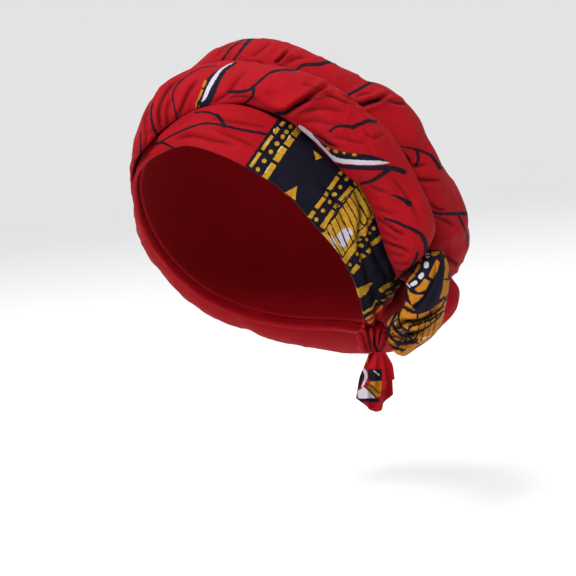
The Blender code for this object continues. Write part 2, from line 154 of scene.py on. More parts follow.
REAR_ROLL = rows(
    RearStation,
    (-150, 1.05, 1.15),
    (-115, 1.05, 1.05),
    (-92, 1.00, 0.75),
    (-70, 0.95, 0.48),
    (-40, 0.91, 0.29),
    (-15, 0.92, 0.24),
    (8, 0.97, 0.50),
    (30, 0.86, 0.57),
    (55, 0.93, 0.59),
    (80, 1.06, 0.84),
    (100, 1.00, 0.80),
    (125, 1.04, 0.93),
    (155, 1.04, 1.01),
)
Crease = namedtuple("Crease", "ring_a side_a ring_b side_b depth width")
FRONT_CREASES = rows(
    Crease,
    (30, -10, 52, 110, 0.10, 0.18),
    (60, 150, 84, 60, 0.06, 0.16),
    (92, 20, 108, 120, 0.07, 0.16),
    (-2, -10, -30, 150, 0.09, 0.16),
    (-14, -10, -48, 130, 0.08, 0.16),
    (-26, -10, -70, 120, 0.07, 0.16),
    (150, 0, 170, 150, 0.08, 0.18),
    (-100, 0, -120, 150, 0.08, 0.18),
    (-140, 10, -160, 150, 0.08, 0.18),
)
REAR_CREASES = rows(
    Crease,
    (12, 30, 20, 170, 0.06, 0.16),
    (58, 20, 66, 170, 0.10, 0.18),
    (86, 20, 92, 170, 0.10, 0.18),
    (122, 20, 128, 170, 0.11, 0.18),
    (160, 20, 166, 170, 0.09, 0.18),
    (-150, 20, -144, 170, 0.09, 0.18),
    (-104, 20, -98, 170, 0.09, 0.18),
    (-50, 20, -44, 170, 0.09, 0.18),
)
BandStation = namedtuple("BandStation", "ring lower tuck proud")
BAND = rows(
    BandStation,
    (-150, 112, 1, 0.00),
    (-118, 114, 1, 0.00),
    (-88, 112, 1, 0.00),
    (-62, 109, 1, 0.00),
    (-44, 107, 1, 0.00),
    (-32, 105.2, 1, 0.00),
    (-22, 103.8, 1, 0.00),
    (-12, 102.3, 0.5, 0.00),
    (-3, 101, 0, 0.12),
    (12, 98, 0, 0.18),
    (28, 98, 0, 0.20),
    (42, 99, 0, 0.13),
    (52, 100, 0.5, 0.00),
    (62, 102, 1, 0.00),
    (75, 106, 1, 0.00),
    (88, 109, 1, 0.00),
    (103, 113, 1, 0.00),
    (120, 117, 1, 0.00),
    (138, 118, 1, 0.00),
    (156, 113, 1, 0.00),
    (178, 109, 1, 0.00),
)
Pleat = namedtuple("Pleat", "ring_a share_a ring_b share_b height width")
BAND_PLEATS = rows(
    Pleat,
    (110, 0.62, 131, 0.30, 0.9, 0.10),
    (112, 0.38, 131, 0.18, 1.0, 0.10),
    (114, 0.12, 131, 0.06, 0.9, 0.10),
    (146, 0.30, 166, 0.45, 0.8, 0.12),
    (146, 0.14, 166, 0.18, 0.8, 0.12),
    (2, 0.42, 28, 0.58, 0.5, 0.16),
)
PuffStation = namedtuple("PuffStation", "along ring fall lift width thick")
PUFF = rows(
    PuffStation,
    (0.00, 112, 90.2, 0.77, 0.22, 0.28),
    (0.20, 113, 95.4, 0.81, 0.63, 0.71),
    (0.40, 117, 100.6, 0.82, 0.86, 0.88),
    (0.60, 121, 103.8, 0.85, 0.90, 0.84),
    (0.80, 128, 109, 0.83, 0.80, 0.80),
    (1.00, 137, 119.4, 0.42, 0.34, 0.54),
)
TailStation = namedtuple("TailStation", "along spread away")
TAIL = rows(
    TailStation,
    (0.00, 0.36, 0.00),
    (0.25, 0.62, -0.02),
    (0.55, 0.90, -0.07),
    (1.00, 1.00, -0.16),
)

# A drawn line in photo pixels: its width at each end, and its points
Stroke = namedtuple("Stroke", "start end points")
# A fold in photo pixels: how deep it is, how wide in pixels, how far one side laps over, its points
Fold = namedtuple("Fold", "depth width lap points")

# The rolls' and the band's print and folds
FRONT_VEINS = rows(
    Stroke,
    (3.4, 2.2, ((229, 92), (246, 91), (252, 87.5), (258, 82.5), (269, 73.5), (281, 70), (297, 70))),
    (4.0, 2.0, ((253, 88), (253.5, 92), (252, 97), (244.5, 103.5))),
    (0.8, 2.6, ((218, 66), (203, 67.5), (189, 74.4), (178.5, 83.5), (173, 92.7), (173.5, 103),
                (176, 113.4), (177.5, 121))),
    (1.8, 4.2, ((152.5, 103.5), (151, 114.5), (153.3, 127), (156.7, 134), (160, 138.5))),
    (1.2, 2.4, ((140.2, 131), (140.8, 146), (140.7, 159.5))),
    (3.6, 2.0, ((276, 113.5), (285, 113), (294, 108), (303, 102.8), (307.5, 99))),
    (2.4, 3.6, ((329.5, 131.5), (336, 127), (346, 126.2), (352.5, 127))),
    (4.4, 3.4, ((352.5, 127.4), (361.5, 123.4), (369, 120.7), (375.5, 122))),
    (1.0, 4.4, ((321, 154), (327, 159.5), (334, 164.6), (342, 166.4))),
    (4.4, 5.2, ((342, 166.4), (351.5, 167.2), (369.5, 168.2), (386, 167.6), (398.5, 169.7), (404, 172))),
    (3.0, 4.4, ((361, 183.5), (372, 180.7), (382, 174.6), (390, 169))),
    (0.3, 1.0, ((374, 188.5), (382, 191), (390, 194))),
    (1.0, 5.6, ((390, 194), (397.5, 196.8), (404, 200), (409.5, 204))),
    (2.6, 5.4, ((385, 218.5), (395.7, 221.8), (404.6, 226), (413.6, 229.8), (420.7, 234.3),
                (424.3, 239.6), (426, 245.8), (426.5, 252))),
    (0.8, 1.4, ((377, 218), (387, 225.2), (397.5, 232.3))),
    (1.6, 1.6, ((381.4, 238.6), (386, 243), (389.5, 243.6), (396, 246))),
    (3.2, 3.2, ((417.5, 253), (416.3, 257), (413.6, 263), (410, 269), (404.6, 273.6), (400, 277.5))),
    (0.8, 1.6, ((394.8, 269.8), (401, 271.4), (410, 270.5))),
    (1.0, 2.8, ((314.4, 134.7), (320.8, 138), (331, 145))),
)
FRONT_NAVY = (
    ((235, 62), (226, 65), (219, 69), (211, 74.5), (205.5, 81), (201, 91), (196.7, 100.2), (195, 111),
     (199.2, 112.5), (205.5, 110), (211.8, 101.3), (216, 92.7), (219.5, 82.4), (226.2, 71), (238, 62.5)),
    ((308, 132.5), (314.4, 136), (323.4, 144), (333.6, 149.6), (351.4, 153), (369.3, 154.8), (382, 158),
     (392, 162.4), (380, 161), (362.9, 162), (343.8, 160.5), (334, 157), (325.5, 150.5), (316, 142)),
)
FRONT_WHITE = (
    ((234, 62.4), (226, 65.2), (220.4, 68.7), (215.2, 74), (211.5, 78.7), (207.6, 86), (205.5, 90.6),
     (203, 97), (201.6, 102), (204.4, 100.4), (206.5, 97.4), (210.5, 88.6), (216, 78.7), (219.5, 73.2),
     (223.4, 68.7), (229, 65)),
    ((299.5, 124.6), (304.5, 127.6), (310.6, 132.8), (318.4, 140.8), (326.4, 149.8), (331.4, 154.6),
     (337, 157.6), (345, 159.2), (362.9, 160.4), (380, 160.8), (392.4, 162.6), (380, 164.6), (362.9, 165),
     (343.8, 163.8), (331, 160.8), (322, 154.5), (313.5, 145.5), (305, 135), (298.4, 127)),
)
FRONT_GOLD = rows(
    Stroke,
    (2.4, 2.8, ((205.8, 81), (204.4, 84), (203.2, 86.5))),
    (2.2, 1.2, ((202, 90.5), (199.4, 97), (197.4, 101))),
    (1.0, 1.0, ((196.4, 101.5), (196, 108.5))),
    (0.9, 0.9, ((199, 105.5), (198.6, 110))),
    (3.0, 3.0, ((327, 148.4), (328.4, 149.2))),
    (3.0, 3.0, ((334.6, 151.2), (336.6, 151.8))),
    (2.2, 2.2, ((343, 152.9), (344.6, 153.1))),
    (2.6, 2.6, ((353, 154.6), (355.4, 154.9))),
)
FRONT_FOLDS = rows(
    Fold,
    (1.6, 2.0, 0.6, ((186, 77), (171.7, 85), (162.5, 98.5), (158.5, 112), (159.5, 121), (162, 131))),
    (1.0, 1.8, 0.4, ((200, 78), (190, 90), (183, 105), (178, 121))),
    (0.8, 1.8, 0.3, ((150, 103), (145, 120), (146, 140), (143, 158))),
    (0.8, 1.8, 0.3, ((172, 96), (167, 110), (168, 124), (166, 134))),
    (0.8, 2.2, 0.3, ((209, 107), (219, 100), (228, 93), (236, 82.4), (248.6, 69.2))),
    (3.0, 2.4, 1.4, ((266, 111), (276, 113.5), (285, 112.5), (294, 108), (303, 102.5), (317, 93),
                     (330, 86))),
    (1.3, 2.2, 0.5, ((288, 109), (301, 103.5), (315, 99), (331, 96.4), (346.3, 102.8), (358, 107))),
    (1.0, 2.0, 0.4, ((340, 93), (351, 99), (362, 103), (376, 102))),
    (0.7, 2.2, 0.2, ((292, 116), (310, 110), (330, 109), (350, 113))),
    (0.6, 2.2, 0.2, ((225, 100), (240, 97), (255, 101), (268, 108))),
    (0.5, 2.0, 0.2, ((296, 121), (318, 122), (335, 125), (350, 124))),
    (1.4, 1.8, 0.5, ((312, 131), (321, 137.8), (331, 144.7), (339, 147))),
    (0.6, 1.8, 0.2, ((364, 129), (369, 135.5), (377, 138), (385, 134))),
    (0.5, 2.2, 0.2, ((330, 138), (345, 139), (358, 143), (370, 142))),
    (0.6, 1.8, 0.2, ((366, 184), (376, 189), (390, 194))),
    (0.7, 1.8, 0.2, ((371, 205), (383, 211), (396, 215))),
    (1.1, 1.8, 0.4, ((374, 214), (387, 225), (397.5, 232.3), (406, 236))),
    (0.8, 1.8, 0.3, ((377, 226), (390, 236), (402, 241))),
    (1.1, 1.8, 0.4, ((380, 237), (389.5, 243.6), (396, 246), (413, 253.5))),
    (0.6, 1.8, 0.2, ((385, 250), (395, 254), (407, 256))),
    (0.7, 1.8, 0.2, ((391, 262), (402, 264), (413, 262))),
    (0.6, 3.0, 0.2, ((300, 84), (318, 88), (334, 96))),
    (0.7, 3.0, 0.2, ((392, 178), (402, 190), (412, 205), (420, 222))),
)
REAR_VEINS = rows(
    Stroke,
    (2.4, 1.4, ((222.2, 60.5), (229, 50.3), (236, 44.5), (244, 39))),
    (2.0, 4.6, ((232.5, 61), (241.7, 49.1), (247, 42.5), (254, 36))),
    (2.4, 4.0, ((296, 70.5), (304, 65), (318, 64.4))),
    (4.4, 1.4, ((318, 64.4), (331, 62), (344, 65.5))),
    (3.0, 3.4, ((347, 95.6), (361.6, 87.5), (379, 78))),
    (2.0, 3.8, ((359, 106), (369.3, 103), (378.2, 100.2))),
    (1.2, 4.2, ((394.8, 145.5), (402.4, 146.8), (414, 148.8), (424, 152), (431.8, 156.5),
                (437, 163.5), (440, 168))),
    (3.8, 3.2, ((416.5, 149.5), (418.4, 157.7), (415.8, 165.5))),
    (2.8, 3.8, ((431, 211.5), (440.4, 214), (449.3, 213.7), (458.2, 213.6), (470, 213.6))),
    (2.6, 1.6, ((458.2, 215), (462.7, 224.3), (466.3, 234), (467.5, 246))),
)
REAR_FOLDS = rows(
    Fold,
    (1.5, 1.4, 0.5, ((274, 63.5), (279, 60.5), (283.5, 56), (289.5, 49.5))),
    (0.7, 2.0, 0.2, ((287, 64), (296.6, 58.2), (306, 57.5))),
    (2.2, 2.0, 0.8, ((350, 100), (359, 105.8), (369.3, 103), (378.2, 100.2), (391, 94))),
    (1.2, 2.0, 0.4, ((376, 100.5), (394.8, 102.8), (409, 105))),
    (0.6, 2.0, 0.2, ((353, 99), (364, 94), (373, 94))),
    (1.8, 2.0, 0.6, ((395, 149), (402.4, 156.4), (410, 163))),
    (1.0, 1.8, 0.4, ((404, 160), (412, 166.5), (420, 166), (428, 164))),
    (1.0, 2.0, 0.3, ((409, 180), (426.7, 180.5), (441, 180.2))),
    (0.9, 2.0, 0.3, ((428, 203), (436, 208.5), (446, 210))),
    (0.9, 2.0, 0.3, ((432, 216), (443, 219.8), (455, 226))),
    (0.6, 2.4, 0.2, ((214, 58), (222, 50), (232, 43))),
    (0.6, 2.4, 0.2, ((250, 58), (262, 50), (272, 42))),
    (2.0, 2.2, 0.6, ((444, 257), (452.9, 262.7), (462, 267.5))),
)
BAND_VEINS = rows(
    Stroke,
    (2.2, 2.0, ((385.3, 300), (387, 310), (384, 320), (378, 334))),
    (1.6, 1.8, ((369.5, 322), (373, 331), (375, 338))),
    (1.6, 2.8, ((157, 143.4), (177.4, 133), (192.7, 126.4), (206, 123), (221.4, 125.2),
                (239.6, 129.4), (266.5, 134.4))),
    (1.6, 2.6, ((195, 112.5), (203, 111.8), (209, 112.5), (216.6, 115))),
    (3.2, 4.2, ((216.6, 115), (220.5, 119), (224.6, 126))),
    (3.0, 2.6, ((156, 143.6), (163, 142.6), (167.8, 145), (173, 148))),
    (2.6, 1.6, ((135.5, 166), (132.5, 171), (131, 176))),
    (1.8, 2.6, ((386, 299), (385, 305), (384, 317), (377.6, 331))),
    (1.4, 2.2, ((365, 321), (370.3, 333), (375.5, 342))),
)
BAND_FOLDS = rows(
    Fold,
    (0.6, 2.2, 0.2, ((176, 141), (192, 136), (216, 141), (240, 146))),
    (0.5, 2.2, 0.2, ((205, 117), (228, 121), (252, 125), (272, 128))),
    (0.5, 2.6, 0.2, ((215, 131), (238, 139), (258, 148))),
    (0.8, 2.6, 0.3, ((318, 180), (333, 197), (340, 212), (346, 230))),
    (1.4, 2.4, 0.6, ((354, 188), (361, 212), (358, 237), (363, 262), (371, 290))),
    (0.8, 2.2, 0.3, ((366, 215), (371, 240), (378, 262), (388, 280))),
    (1.6, 2.2, 0.6, ((390, 290), (386, 304), (383, 317), (376, 333))),
    (1.4, 2.0, 0.5, ((399, 286), (391, 305), (379, 331))),
    (1.4, 2.0, 0.5, ((364, 318), (369.5, 332), (375, 343))),
    (1.0, 2.0, 0.4, ((376, 300), (375, 318), (374, 335))),
)

# A column of the band's border: its top, middle and bottom in photo pixels, its width there, and its
# marks as shares of its length
Column = namedtuple("Column", "width top middle bottom marks")
GOLD_COLUMNS = rows(
    Column,
    (3.6, (285.5, 119.5), (268.5, 141), (251, 166),
     ((0.02, 0.15), (0.20, 0.33), (0.38, 0.68), (0.74, 1.02))),
    (6.6, (299, 128.5), (283, 150), (266, 176), ((0.00, 0.17), (0.22, 0.40), (0.45, 0.72), (0.77, 1.04))),
    (4.2, (341.5, 171.5), (327, 193), (310, 217),
     ((0.00, 0.08), (0.13, 0.42), (0.47, 0.57), (0.60, 0.82), (0.88, 1.02))),
    (5.4, (358, 181), (339, 203), (322, 228), ((0.00, 0.10), (0.15, 0.46), (0.52, 0.62), (0.66, 1.00))),
    (5.2, (372, 215), (361, 235), (344, 261), ((0.00, 0.08), (0.12, 0.50), (0.56, 0.62), (0.66, 1.02))),
    (4.2, (380.5, 236), (368, 250), (352, 272), ((0.00, 0.36), (0.44, 0.56), (0.62, 0.78), (0.84, 1.02))),
)
DOT_COLUMNS = rows(
    Column,
    (4.4, (292.5, 124), (276, 145), (255, 173), (0.06, 0.19, 0.31, 0.47, 0.63, 0.79, 0.94)),
    (4.2, (349, 175.5), (332, 198), (314, 222.5), (0.08, 0.26, 0.42, 0.58, 0.76, 0.94)),
    (3.8, (374.5, 226.5), (363, 243), (347, 268), (0.05, 0.22, 0.40, 0.56, 0.72, 0.93)),
)
BAND_NAVY = (
    ((281, 114), (290, 117), (300, 122), (318, 148), (342, 170), (362, 182), (345, 206), (322.5, 232),
     (319, 236), (303, 220), (286, 200), (265, 184), (241.5, 171)),
    ((376, 208), (380, 226), (388, 250), (400, 276), (408, 282), (385, 298), (357, 326), (353, 327),
     (344, 291), (333.5, 259), (338, 257), (353, 240), (366, 222), (371, 209)),
)
BLOCK_GOLD = ((360, 182), (370, 196), (374, 212), (364, 232), (342, 259), (339, 261.5), (326, 247),
              (319.5, 234.5), (323, 232), (338, 213))
BLOCK_LINES = rows(
    Stroke,
    (1.3, 1.3, ((359, 184.5), (350, 193), (338.4, 206), (324, 231.5))),
    (1.2, 1.2, ((374, 209), (366, 222), (357.6, 234.5), (341.5, 257.5))),
    (1.4, 1.2, ((357, 187.5), (364, 200), (370.5, 213))),
    (1.2, 1.3, ((353, 191.5), (360.5, 204), (366.5, 219))),
    (1.3, 1.2, ((349, 195.5), (356.5, 209), (362.5, 225))),
    (1.2, 1.3, ((345, 199.5), (352.5, 213), (359, 231))),
    (1.3, 1.2, ((341, 203.5), (348.5, 218), (355, 237))),
    (1.2, 1.2, ((337.5, 208.5), (344.5, 223), (351.5, 242))),
    (1.3, 1.2, ((333.5, 215), (340.5, 230), (347.5, 248))),
    (1.2, 1.2, ((329.5, 221.5), (336, 236), (344.5, 252.5))),
    (1.2, 1.2, ((326, 228), (332, 241), (341.5, 257))),
)
BLOCK_WHITE = (
    ((346, 227), (350, 229), (351.5, 234), (348, 240), (345, 246), (341, 247.5), (338, 243),
     (335.5, 237), (340, 231)),
    ((328, 236), (331, 235), (336, 244), (334.5, 248)),
)
BAND_GOLD = (
    ((297, 186), (285, 192.5), (295, 200.5)),
    ((313, 150), (322, 157.5), (316, 160)),
    ((373, 283), (361, 286), (352, 290), (356, 299), (366, 294)),
)
END_GOLD = rows(
    Stroke,
    (4.2, 4.2, ((381, 290), (386, 286.5), (391, 284))),
    (2.2, 2.2, ((385, 293), (390, 291.5))),
    (1.8, 1.8, ((381, 299), (389, 296.5), (396, 290), (404, 283))),
    (2.6, 2.6, ((396, 279), (399, 275))),
    (2.4, 2.4, ((363, 312), (371, 307), (376, 301))),
    (1.6, 1.6, ((365, 318), (371, 313.5))),
    (1.2, 1.2, ((367, 321.5), (374, 315), (380, 304))),
)
TINTS = rows(
    Stroke,
    (1.1, 0.5, ((282.5, 121), (281, 124.5))),
    (1.1, 0.5, ((274.5, 129), (273, 131.5))),
    (0.9, 0.4, ((270, 139.5), (265, 146))),
    (1.1, 0.5, ((256, 158), (252, 163))),
    (1.5, 0.5, ((289.5, 136), (287.5, 140))),
    (1.8, 0.5, ((281.5, 147), (277, 152.5))),
    (0.6, 1.4, ((270, 164.5), (265.5, 172.5))),
    (1.2, 0.6, ((329, 238), (334, 246))),
)

# The bow puff's print and folds
PUFF_GOLD_SHAPES = (
    ((436.5, 259.5), (440, 262), (436.8, 272), (433, 279), (428.5, 276), (432, 268)),
    ((424.5, 278.5), (430, 281.5), (426, 289.5), (418.5, 292.5), (414, 289), (420, 285)),
    ((444.5, 256.5), (448.5, 259), (449.8, 268), (447.5, 278), (443.8, 279), (445, 268)),
    ((443.5, 280), (451.5, 280.5), (449, 292), (443, 301), (439.5, 298.5), (442.5, 289)),
    ((406.8, 286.5), (409.5, 292), (415, 294.5), (424, 295), (419, 300.5), (412, 305), (409, 298)),
    ((403.5, 298), (406, 302), (410, 306), (403.5, 310.5)),
    ((404, 300), (412, 306), (418, 315), (431, 310), (443, 301), (448, 300), (450, 316), (440, 330),
     (430, 340), (417, 346), (410, 354), (404, 360), (392, 362), (382, 352), (377, 342), (388, 338),
     (391, 330), (386, 324), (392, 316), (398, 309)),
)
PUFF_GOLD = rows(
    Stroke,
    (3.2, 3.2, ((420.4, 255), (420.2, 261))),
    (3.4, 3.0, ((419.2, 265.5), (415.8, 271.5))),
    (3.4, 2.8, ((413.5, 275), (407, 281.5))),
    (4.6, 3.6, ((433, 254), (437.5, 253))),
    (4.4, 4.4, ((442, 247.5), (444.5, 252))),
)
PUFF_WHITE = rows(
    Stroke,
    (4.6, 4.6, ((427.3, 254.8), (427.4, 255.6))),
    (4.8, 4.8, ((426.4, 264), (426.1, 266))),
    (4.2, 4.2, ((422, 274.5), (420.4, 277.2))),
    (3.8, 3.8, ((415.6, 282.4), (412.4, 284.4))),
    (1.6, 1.2, ((406.5, 283.5), (410, 287))),
    (2.6, 2.6, ((401, 329.5), (403.5, 331.2))),
    (1.6, 1.6, ((394.8, 322), (396, 326.5))),
    (1.8, 1.2, ((423, 338.6), (429, 336.2))),
)
PUFF_LINES = rows(
    Stroke,
    (1.4, 1.4, ((450.5, 262), (451.2, 280), (448, 295), (442, 306))),
    (1.2, 1.2, ((424, 256), (430, 255.5), (437, 258.5), (441, 262))),
    (1.2, 1.2, ((438, 254), (440, 257), (447, 257.5))),
    (4.0, 2.6, ((404, 307), (411, 311), (418, 312.2), (431, 307), (444, 297.5))),
    (2.4, 2.0, ((406, 320.6), (418.5, 319.8), (431, 315.6), (443, 306.5))),
    (2.2, 1.8, ((409, 326.6), (420, 323.8), (432, 318.8), (444, 311))),
    (1.8, 1.8, ((417, 312), (417.8, 320))),
    (1.8, 1.8, ((429.5, 308), (431.5, 316))),
    (1.6, 1.6, ((413, 320), (414, 326))),
    (1.6, 1.6, ((424.5, 317.5), (425.5, 322))),
    (1.6, 1.6, ((435.5, 312), (437, 317))),
    (1.6, 1.4, ((414, 332.5), (425, 328.6), (436.5, 320), (441, 315))),
    (1.0, 1.0, ((419.5, 325), (415.5, 341))),
    (1.0, 1.0, ((425.5, 323), (421, 341))),
    (1.0, 1.0, ((431, 320.5), (427, 338))),
    (1.0, 1.0, ((436.5, 317.5), (432.5, 334))),
    (2.6, 2.2, ((411.5, 326), (408.4, 331), (410.5, 338), (418, 343.5))),
    (2.6, 2.0, ((404, 303), (400, 311), (398.5, 319), (402, 327), (409.5, 331.5))),
    (2.6, 2.4, ((398, 310), (393, 320), (395, 329.5), (402.5, 336), (411, 337.5))),
    (1.2, 1.2, ((399, 317), (394.5, 322))),
    (1.2, 1.2, ((404, 329), (400.5, 334))),
    (2.4, 2.2, ((391.5, 322), (389, 331), (392, 339), (401, 344), (413, 343.6))),
    (2.6, 2.6, ((397, 330.5), (401.9, 335), (408.2, 334.6), (413.5, 331.5))),
    (2.4, 2.6, ((389, 335.5), (396, 341), (406.1, 343), (415, 339.5))),
    (1.6, 1.6, ((411.4, 333.9), (417.5, 340.3))),
    (1.8, 1.8, ((386.5, 341), (394, 347), (404, 349.5))),
    (1.4, 1.4, ((399, 344.5), (397.5, 349))),
    (1.4, 1.4, ((406, 338), (405, 343))),
    (1.2, 1.2, ((393.5, 333), (389, 336))),
    (1.2, 1.2, ((402, 338), (400, 343))),
    (2.2, 2.2, ((386.5, 334), (387, 342), (394, 348.6), (405, 350))),
    (1.4, 1.2, ((395.5, 343.5), (401.5, 353))),
    (2.0, 1.6, ((382, 338), (383, 346), (389, 353), (396, 356))),
)
PUFF_FOLDS = rows(
    Fold,
    (2.6, 2.4, 0.8, ((441, 305), (430, 315), (416, 322), (404, 322), (392, 331))),
    (2.4, 2.4, 0.8, ((432, 322), (418, 332), (408, 333), (396, 327), (388, 333))),
    (2.2, 2.2, 0.8, ((419, 341), (407, 339.5), (395, 336), (384, 338))),
    (1.6, 2.2, 0.5, ((405, 285), (404, 300), (396, 314), (388, 328))),
    (1.4, 2.0, 0.5, ((412, 346), (402, 346), (391, 342))),
    (1.0, 2.4, 0.3, ((436, 262), (433, 282), (421, 302), (405, 314))),
)
# The bow's lowest lobe: where it hangs in the photo, how far it spreads in pixels, and by how many metres
PUFF_LOBE = (400.0, 351.0)
PUFF_LOBE_REACH = (13.0, 9.0)
PUFF_LOBE_DROOP = 0.0034
KNOT_FOLDS = rows(
    Fold,
    (1.4, 1.8, 0.6, ((361, 331), (364, 338), (369, 352))),
    (1.8, 2.0, 0.7, ((367.5, 327), (369, 337), (372, 352))),
    (1.8, 2.0, 0.7, ((375, 326), (374.5, 337), (374.5, 352))),
    (1.4, 1.8, 0.6, ((382, 328), (379.5, 337), (377, 351))),
    (1.0, 1.6, 0.4, ((387, 333), (384, 341), (380, 350))),
)

# How far from a drawn edge its distance is kept, in pixels
HIDDEN_LIMIT = 6.0
# A fold's section: its relief in metres a unit of depth, and in its own widths how high and far off its
# shoulder lies, how wide that is and how far the lap reaches
FOLD_RELIEF = 0.0019
SHOULDER_HEIGHT = 0.4
SHOULDER_PLACE = 2.4
SHOULDER_WIDTH = 1.6
LAP_REACH = 3.0
FOLD_REACH = 7.0

# The tails' print
TAIL_NAVY = (
    ((357, 362), (361, 366), (364.5, 376), (360, 388), (355, 390)),
    ((368, 369), (382, 369), (382, 381), (377, 385), (368, 380)),
    ((356, 398), (381, 398.5), (378, 402.2), (358, 402)),
)
TAIL_GOLD_SHAPES = (
    ((371, 381.5), (382, 381), (380.5, 396), (376, 397.5), (367, 387)),
    ((364.5, 353), (369, 355), (367.5, 362), (364, 363)),
)
TAIL_WHITE = rows(
    Stroke,
    (1.8, 3.2, ((362, 367.5), (364.8, 371))),
    (3.2, 1.8, ((364.8, 371), (366, 376), (364.5, 382), (362, 386.5))),
    (1.4, 1.4, ((374, 371), (379, 375))),
)
TAIL_WHITE_SHAPES = (
    ((357, 391.5), (364.5, 387), (375.5, 398), (358.5, 398.5)),
)
TAIL_LINES = rows(
    Stroke,
    (1.3, 1.3, ((364, 386), (371, 392), (378, 399.5))),
    (1.6, 1.6, ((358, 400.6), (377, 401.2))),
    (1.2, 1.2, ((370, 384), (379, 393))),
)

# The dyes, and where gold is worn darker
RED = (0.212, 0.0007, 0.0040)
LINE = (0.0065, 0.0016, 0.0060)
NAVY = (0.0026, 0.0022, 0.0066)
GOLD = (0.30, 0.112, 0.0045)
BAND_GOLD_DYE = (0.33, 0.185, 0.013)
GOLD_SHADE = (0.23, 0.078, 0.004)
TINT = (0.38, 0.34, 0.20)
WHITE = (0.35, 0.31, 0.36)
SHEEN_TINT = (1.0, 0.70, 0.72, 1.0)
# How much a dye darkens and lightens over the cloth
Dye = namedtuple("Dye", "field colour dark light")
GROUND_RANGE = (0.93, 1.07)
COTTON_ROUGHNESS = 0.72
LINING_ROUGHNESS = 0.85
LINING_FADE = 0.85
SPECULAR_LEVEL = 0.08
SHEEN_WEIGHT = 0.004
SHEEN_ROUGHNESS = 0.5
# Noise scales a metre: uneven dye, mottled ink, worn gold and the print's unsteady edge
DYE_SCALE = 55.0
MOTTLE_SCALE = 900.0
WORN_SCALE = 260.0
WOBBLE_SCALE = 420.0
# Bumps, each its strength and its height in metres
THREAD_BUMP = (0.25, 0.00006)
CLOTH_BUMP = (0.35, 0.0012)
PRINT_WOBBLE_MM = 0.45
PRINT_EDGE_MM = 0.16
# The painted shade at the bottom of a fold: how dark the colour is drawn there, as a share of its own
PAINTED_FOLD_SHADE = 0.12
THREAD_PITCH_MM = 0.55

# How finely the pieces are divided: for each run its first value, its last and its step, in degrees
ROLL_RINGS = ((-72.0, 136.0, 0.45), (136.0, 288.0, 0.62))
ROLL_SIDES = ((-25.0, 205.0, 2.0), (205.0, 335.0, 6.5))
BAND_RINGS = ((-68.0, 14.0, 0.6), (14.0, 44.0, 0.33), (44.0, 78.0, 0.2), (78.0, 142.0, 0.33),
              (142.0, 292.0, 0.75))
CAP_RINGS = ((0.0, 360.0, 0.8),)
PUFF_SIDES = ((0.0, 360.0, 2.0),)
KNOT_SIDES = ((0.0, 360.0, 3.0),)

# Veins on the hidden sides, in mm: where they start and end along a piece, how far apart they are, and
# the lowest and highest place across it
ROLL_HIDDEN_VEINS = (225.0, 480.0, 24.0, -12.0, 62.0)
BAND_HIDDEN_VEINS = (235.0, 445.0, 30.0, -4.0, 44.0)
CAP_VEINS = (0.0, 180.0, 34.0, -50.0, 110.0)

# Small relief of the cloth, in metres: crumples on the rolls, the band's swell and hem, the cap's gathers
CRUMPLE = 0.0007
SMALL_CRUMPLE = 0.00025
RIDGE = 0.0005
BAND_SWELL = 0.0005
HEM_HEIGHT = 0.0007
CAP_GATHERS = 18.0
CAP_GATHER_HEIGHT = 0.0011
CAP_TUCKS = 31.0
CAP_TUCK_HEIGHT = 0.0007
CAP_HOLE = 0.015
PUFF_GATHERS = 7.0
PUFF_GATHER_HEIGHT = 0.0011
PUFF_SWELL = 0.0006
KNOT_WRINKLES = 11.0
KNOT_WRINKLE_HEIGHT = 0.0003
TAIL_SWELL = 0.0006
TAIL_HALF_WALL = 0.0007
LATTICE = 64

# The flat sizes in mm that the weave and the hidden veins are laid out on
MM = 1000.0
MM_PER_PIXEL = METRES_PER_PIXEL * MM
ROLL_RADIUS_MM = 96.0
BAND_RADIUS_MM = 90.0
BAND_HEIGHT_MM = 40.0
CAP_RADIUS_MM = 60.0
CAP_REACH_MM = 150.0
CAP_VEIN_SHIFT_MM = (90.0, 30.0)
PUFF_LENGTH_MM = 60.0
PUFF_RADIUS_MM = 17.0
KNOT_LENGTH_MM = 25.0
KNOT_RADIUS_MM = 9.0
KNOT_VEINS = rows(
    Stroke,
    (1.2, 2.4, ((2, 20), (10, 23), (22, 21))),
    (2.0, 1.0, ((3, 6), (12, 10), (23, 8))),
)

# The floor behind the wrap: how far it lies below, its radius, the bend at its edge and the wall's height
FLOOR_DROP = 0.10
FLOOR_RADIUS = 4.0
FLOOR_BEND = 1.5
FLOOR_WALL = 3.0
FLOOR_TURNS = 96
FLOOR_BENDS = 12
FLOOR_GREY = (0.94, 0.94, 0.94, 1.0)
WORLD_STRENGTH = 0.58
Light = namedtuple("Light", "name azimuth elevation distance size power")
LIGHTS = rows(
    Light,
    ("key", 14.0, 46.0, 1.7, 0.8, 44.0),
    ("fill", 100.0, 18.0, 2.2, 1.4, 4.0),
    ("top", 200.0, 70.0, 2.0, 1.4, 13.0),
)


def head_points(ring, fall, lift):
    """Points at ring angles and falls, a lift above the head, and the outward directions there."""
    ring, fall, lift = np.broadcast_arrays(ring, fall, lift)
    round_angle = np.radians(ring)
    down = np.radians(fall)
    tilt = math.radians(CROWN_TILT)
    across = np.sin(down) * np.sin(round_angle)
    forward = np.sin(down) * np.cos(round_angle)
    up = np.cos(down)
    back = up * math.sin(tilt) - forward * math.cos(tilt)
    rise = forward * math.sin(tilt) + up * math.cos(tilt)
    half = np.array((HEAD_WIDTH, HEAD_LENGTH, HEAD_HEIGHT)) / 2
    skin = np.stack((
        half[0] * across * (1 + FRONT_NARROWING * back),
        half[1] * back,
        half[2] * (rise - 1),
    ), axis=-1)
    normal = unit(np.stack((across / half[0], back / half[1], rise / half[2]), axis=-1))
    return skin + normal * lift[..., None], normal


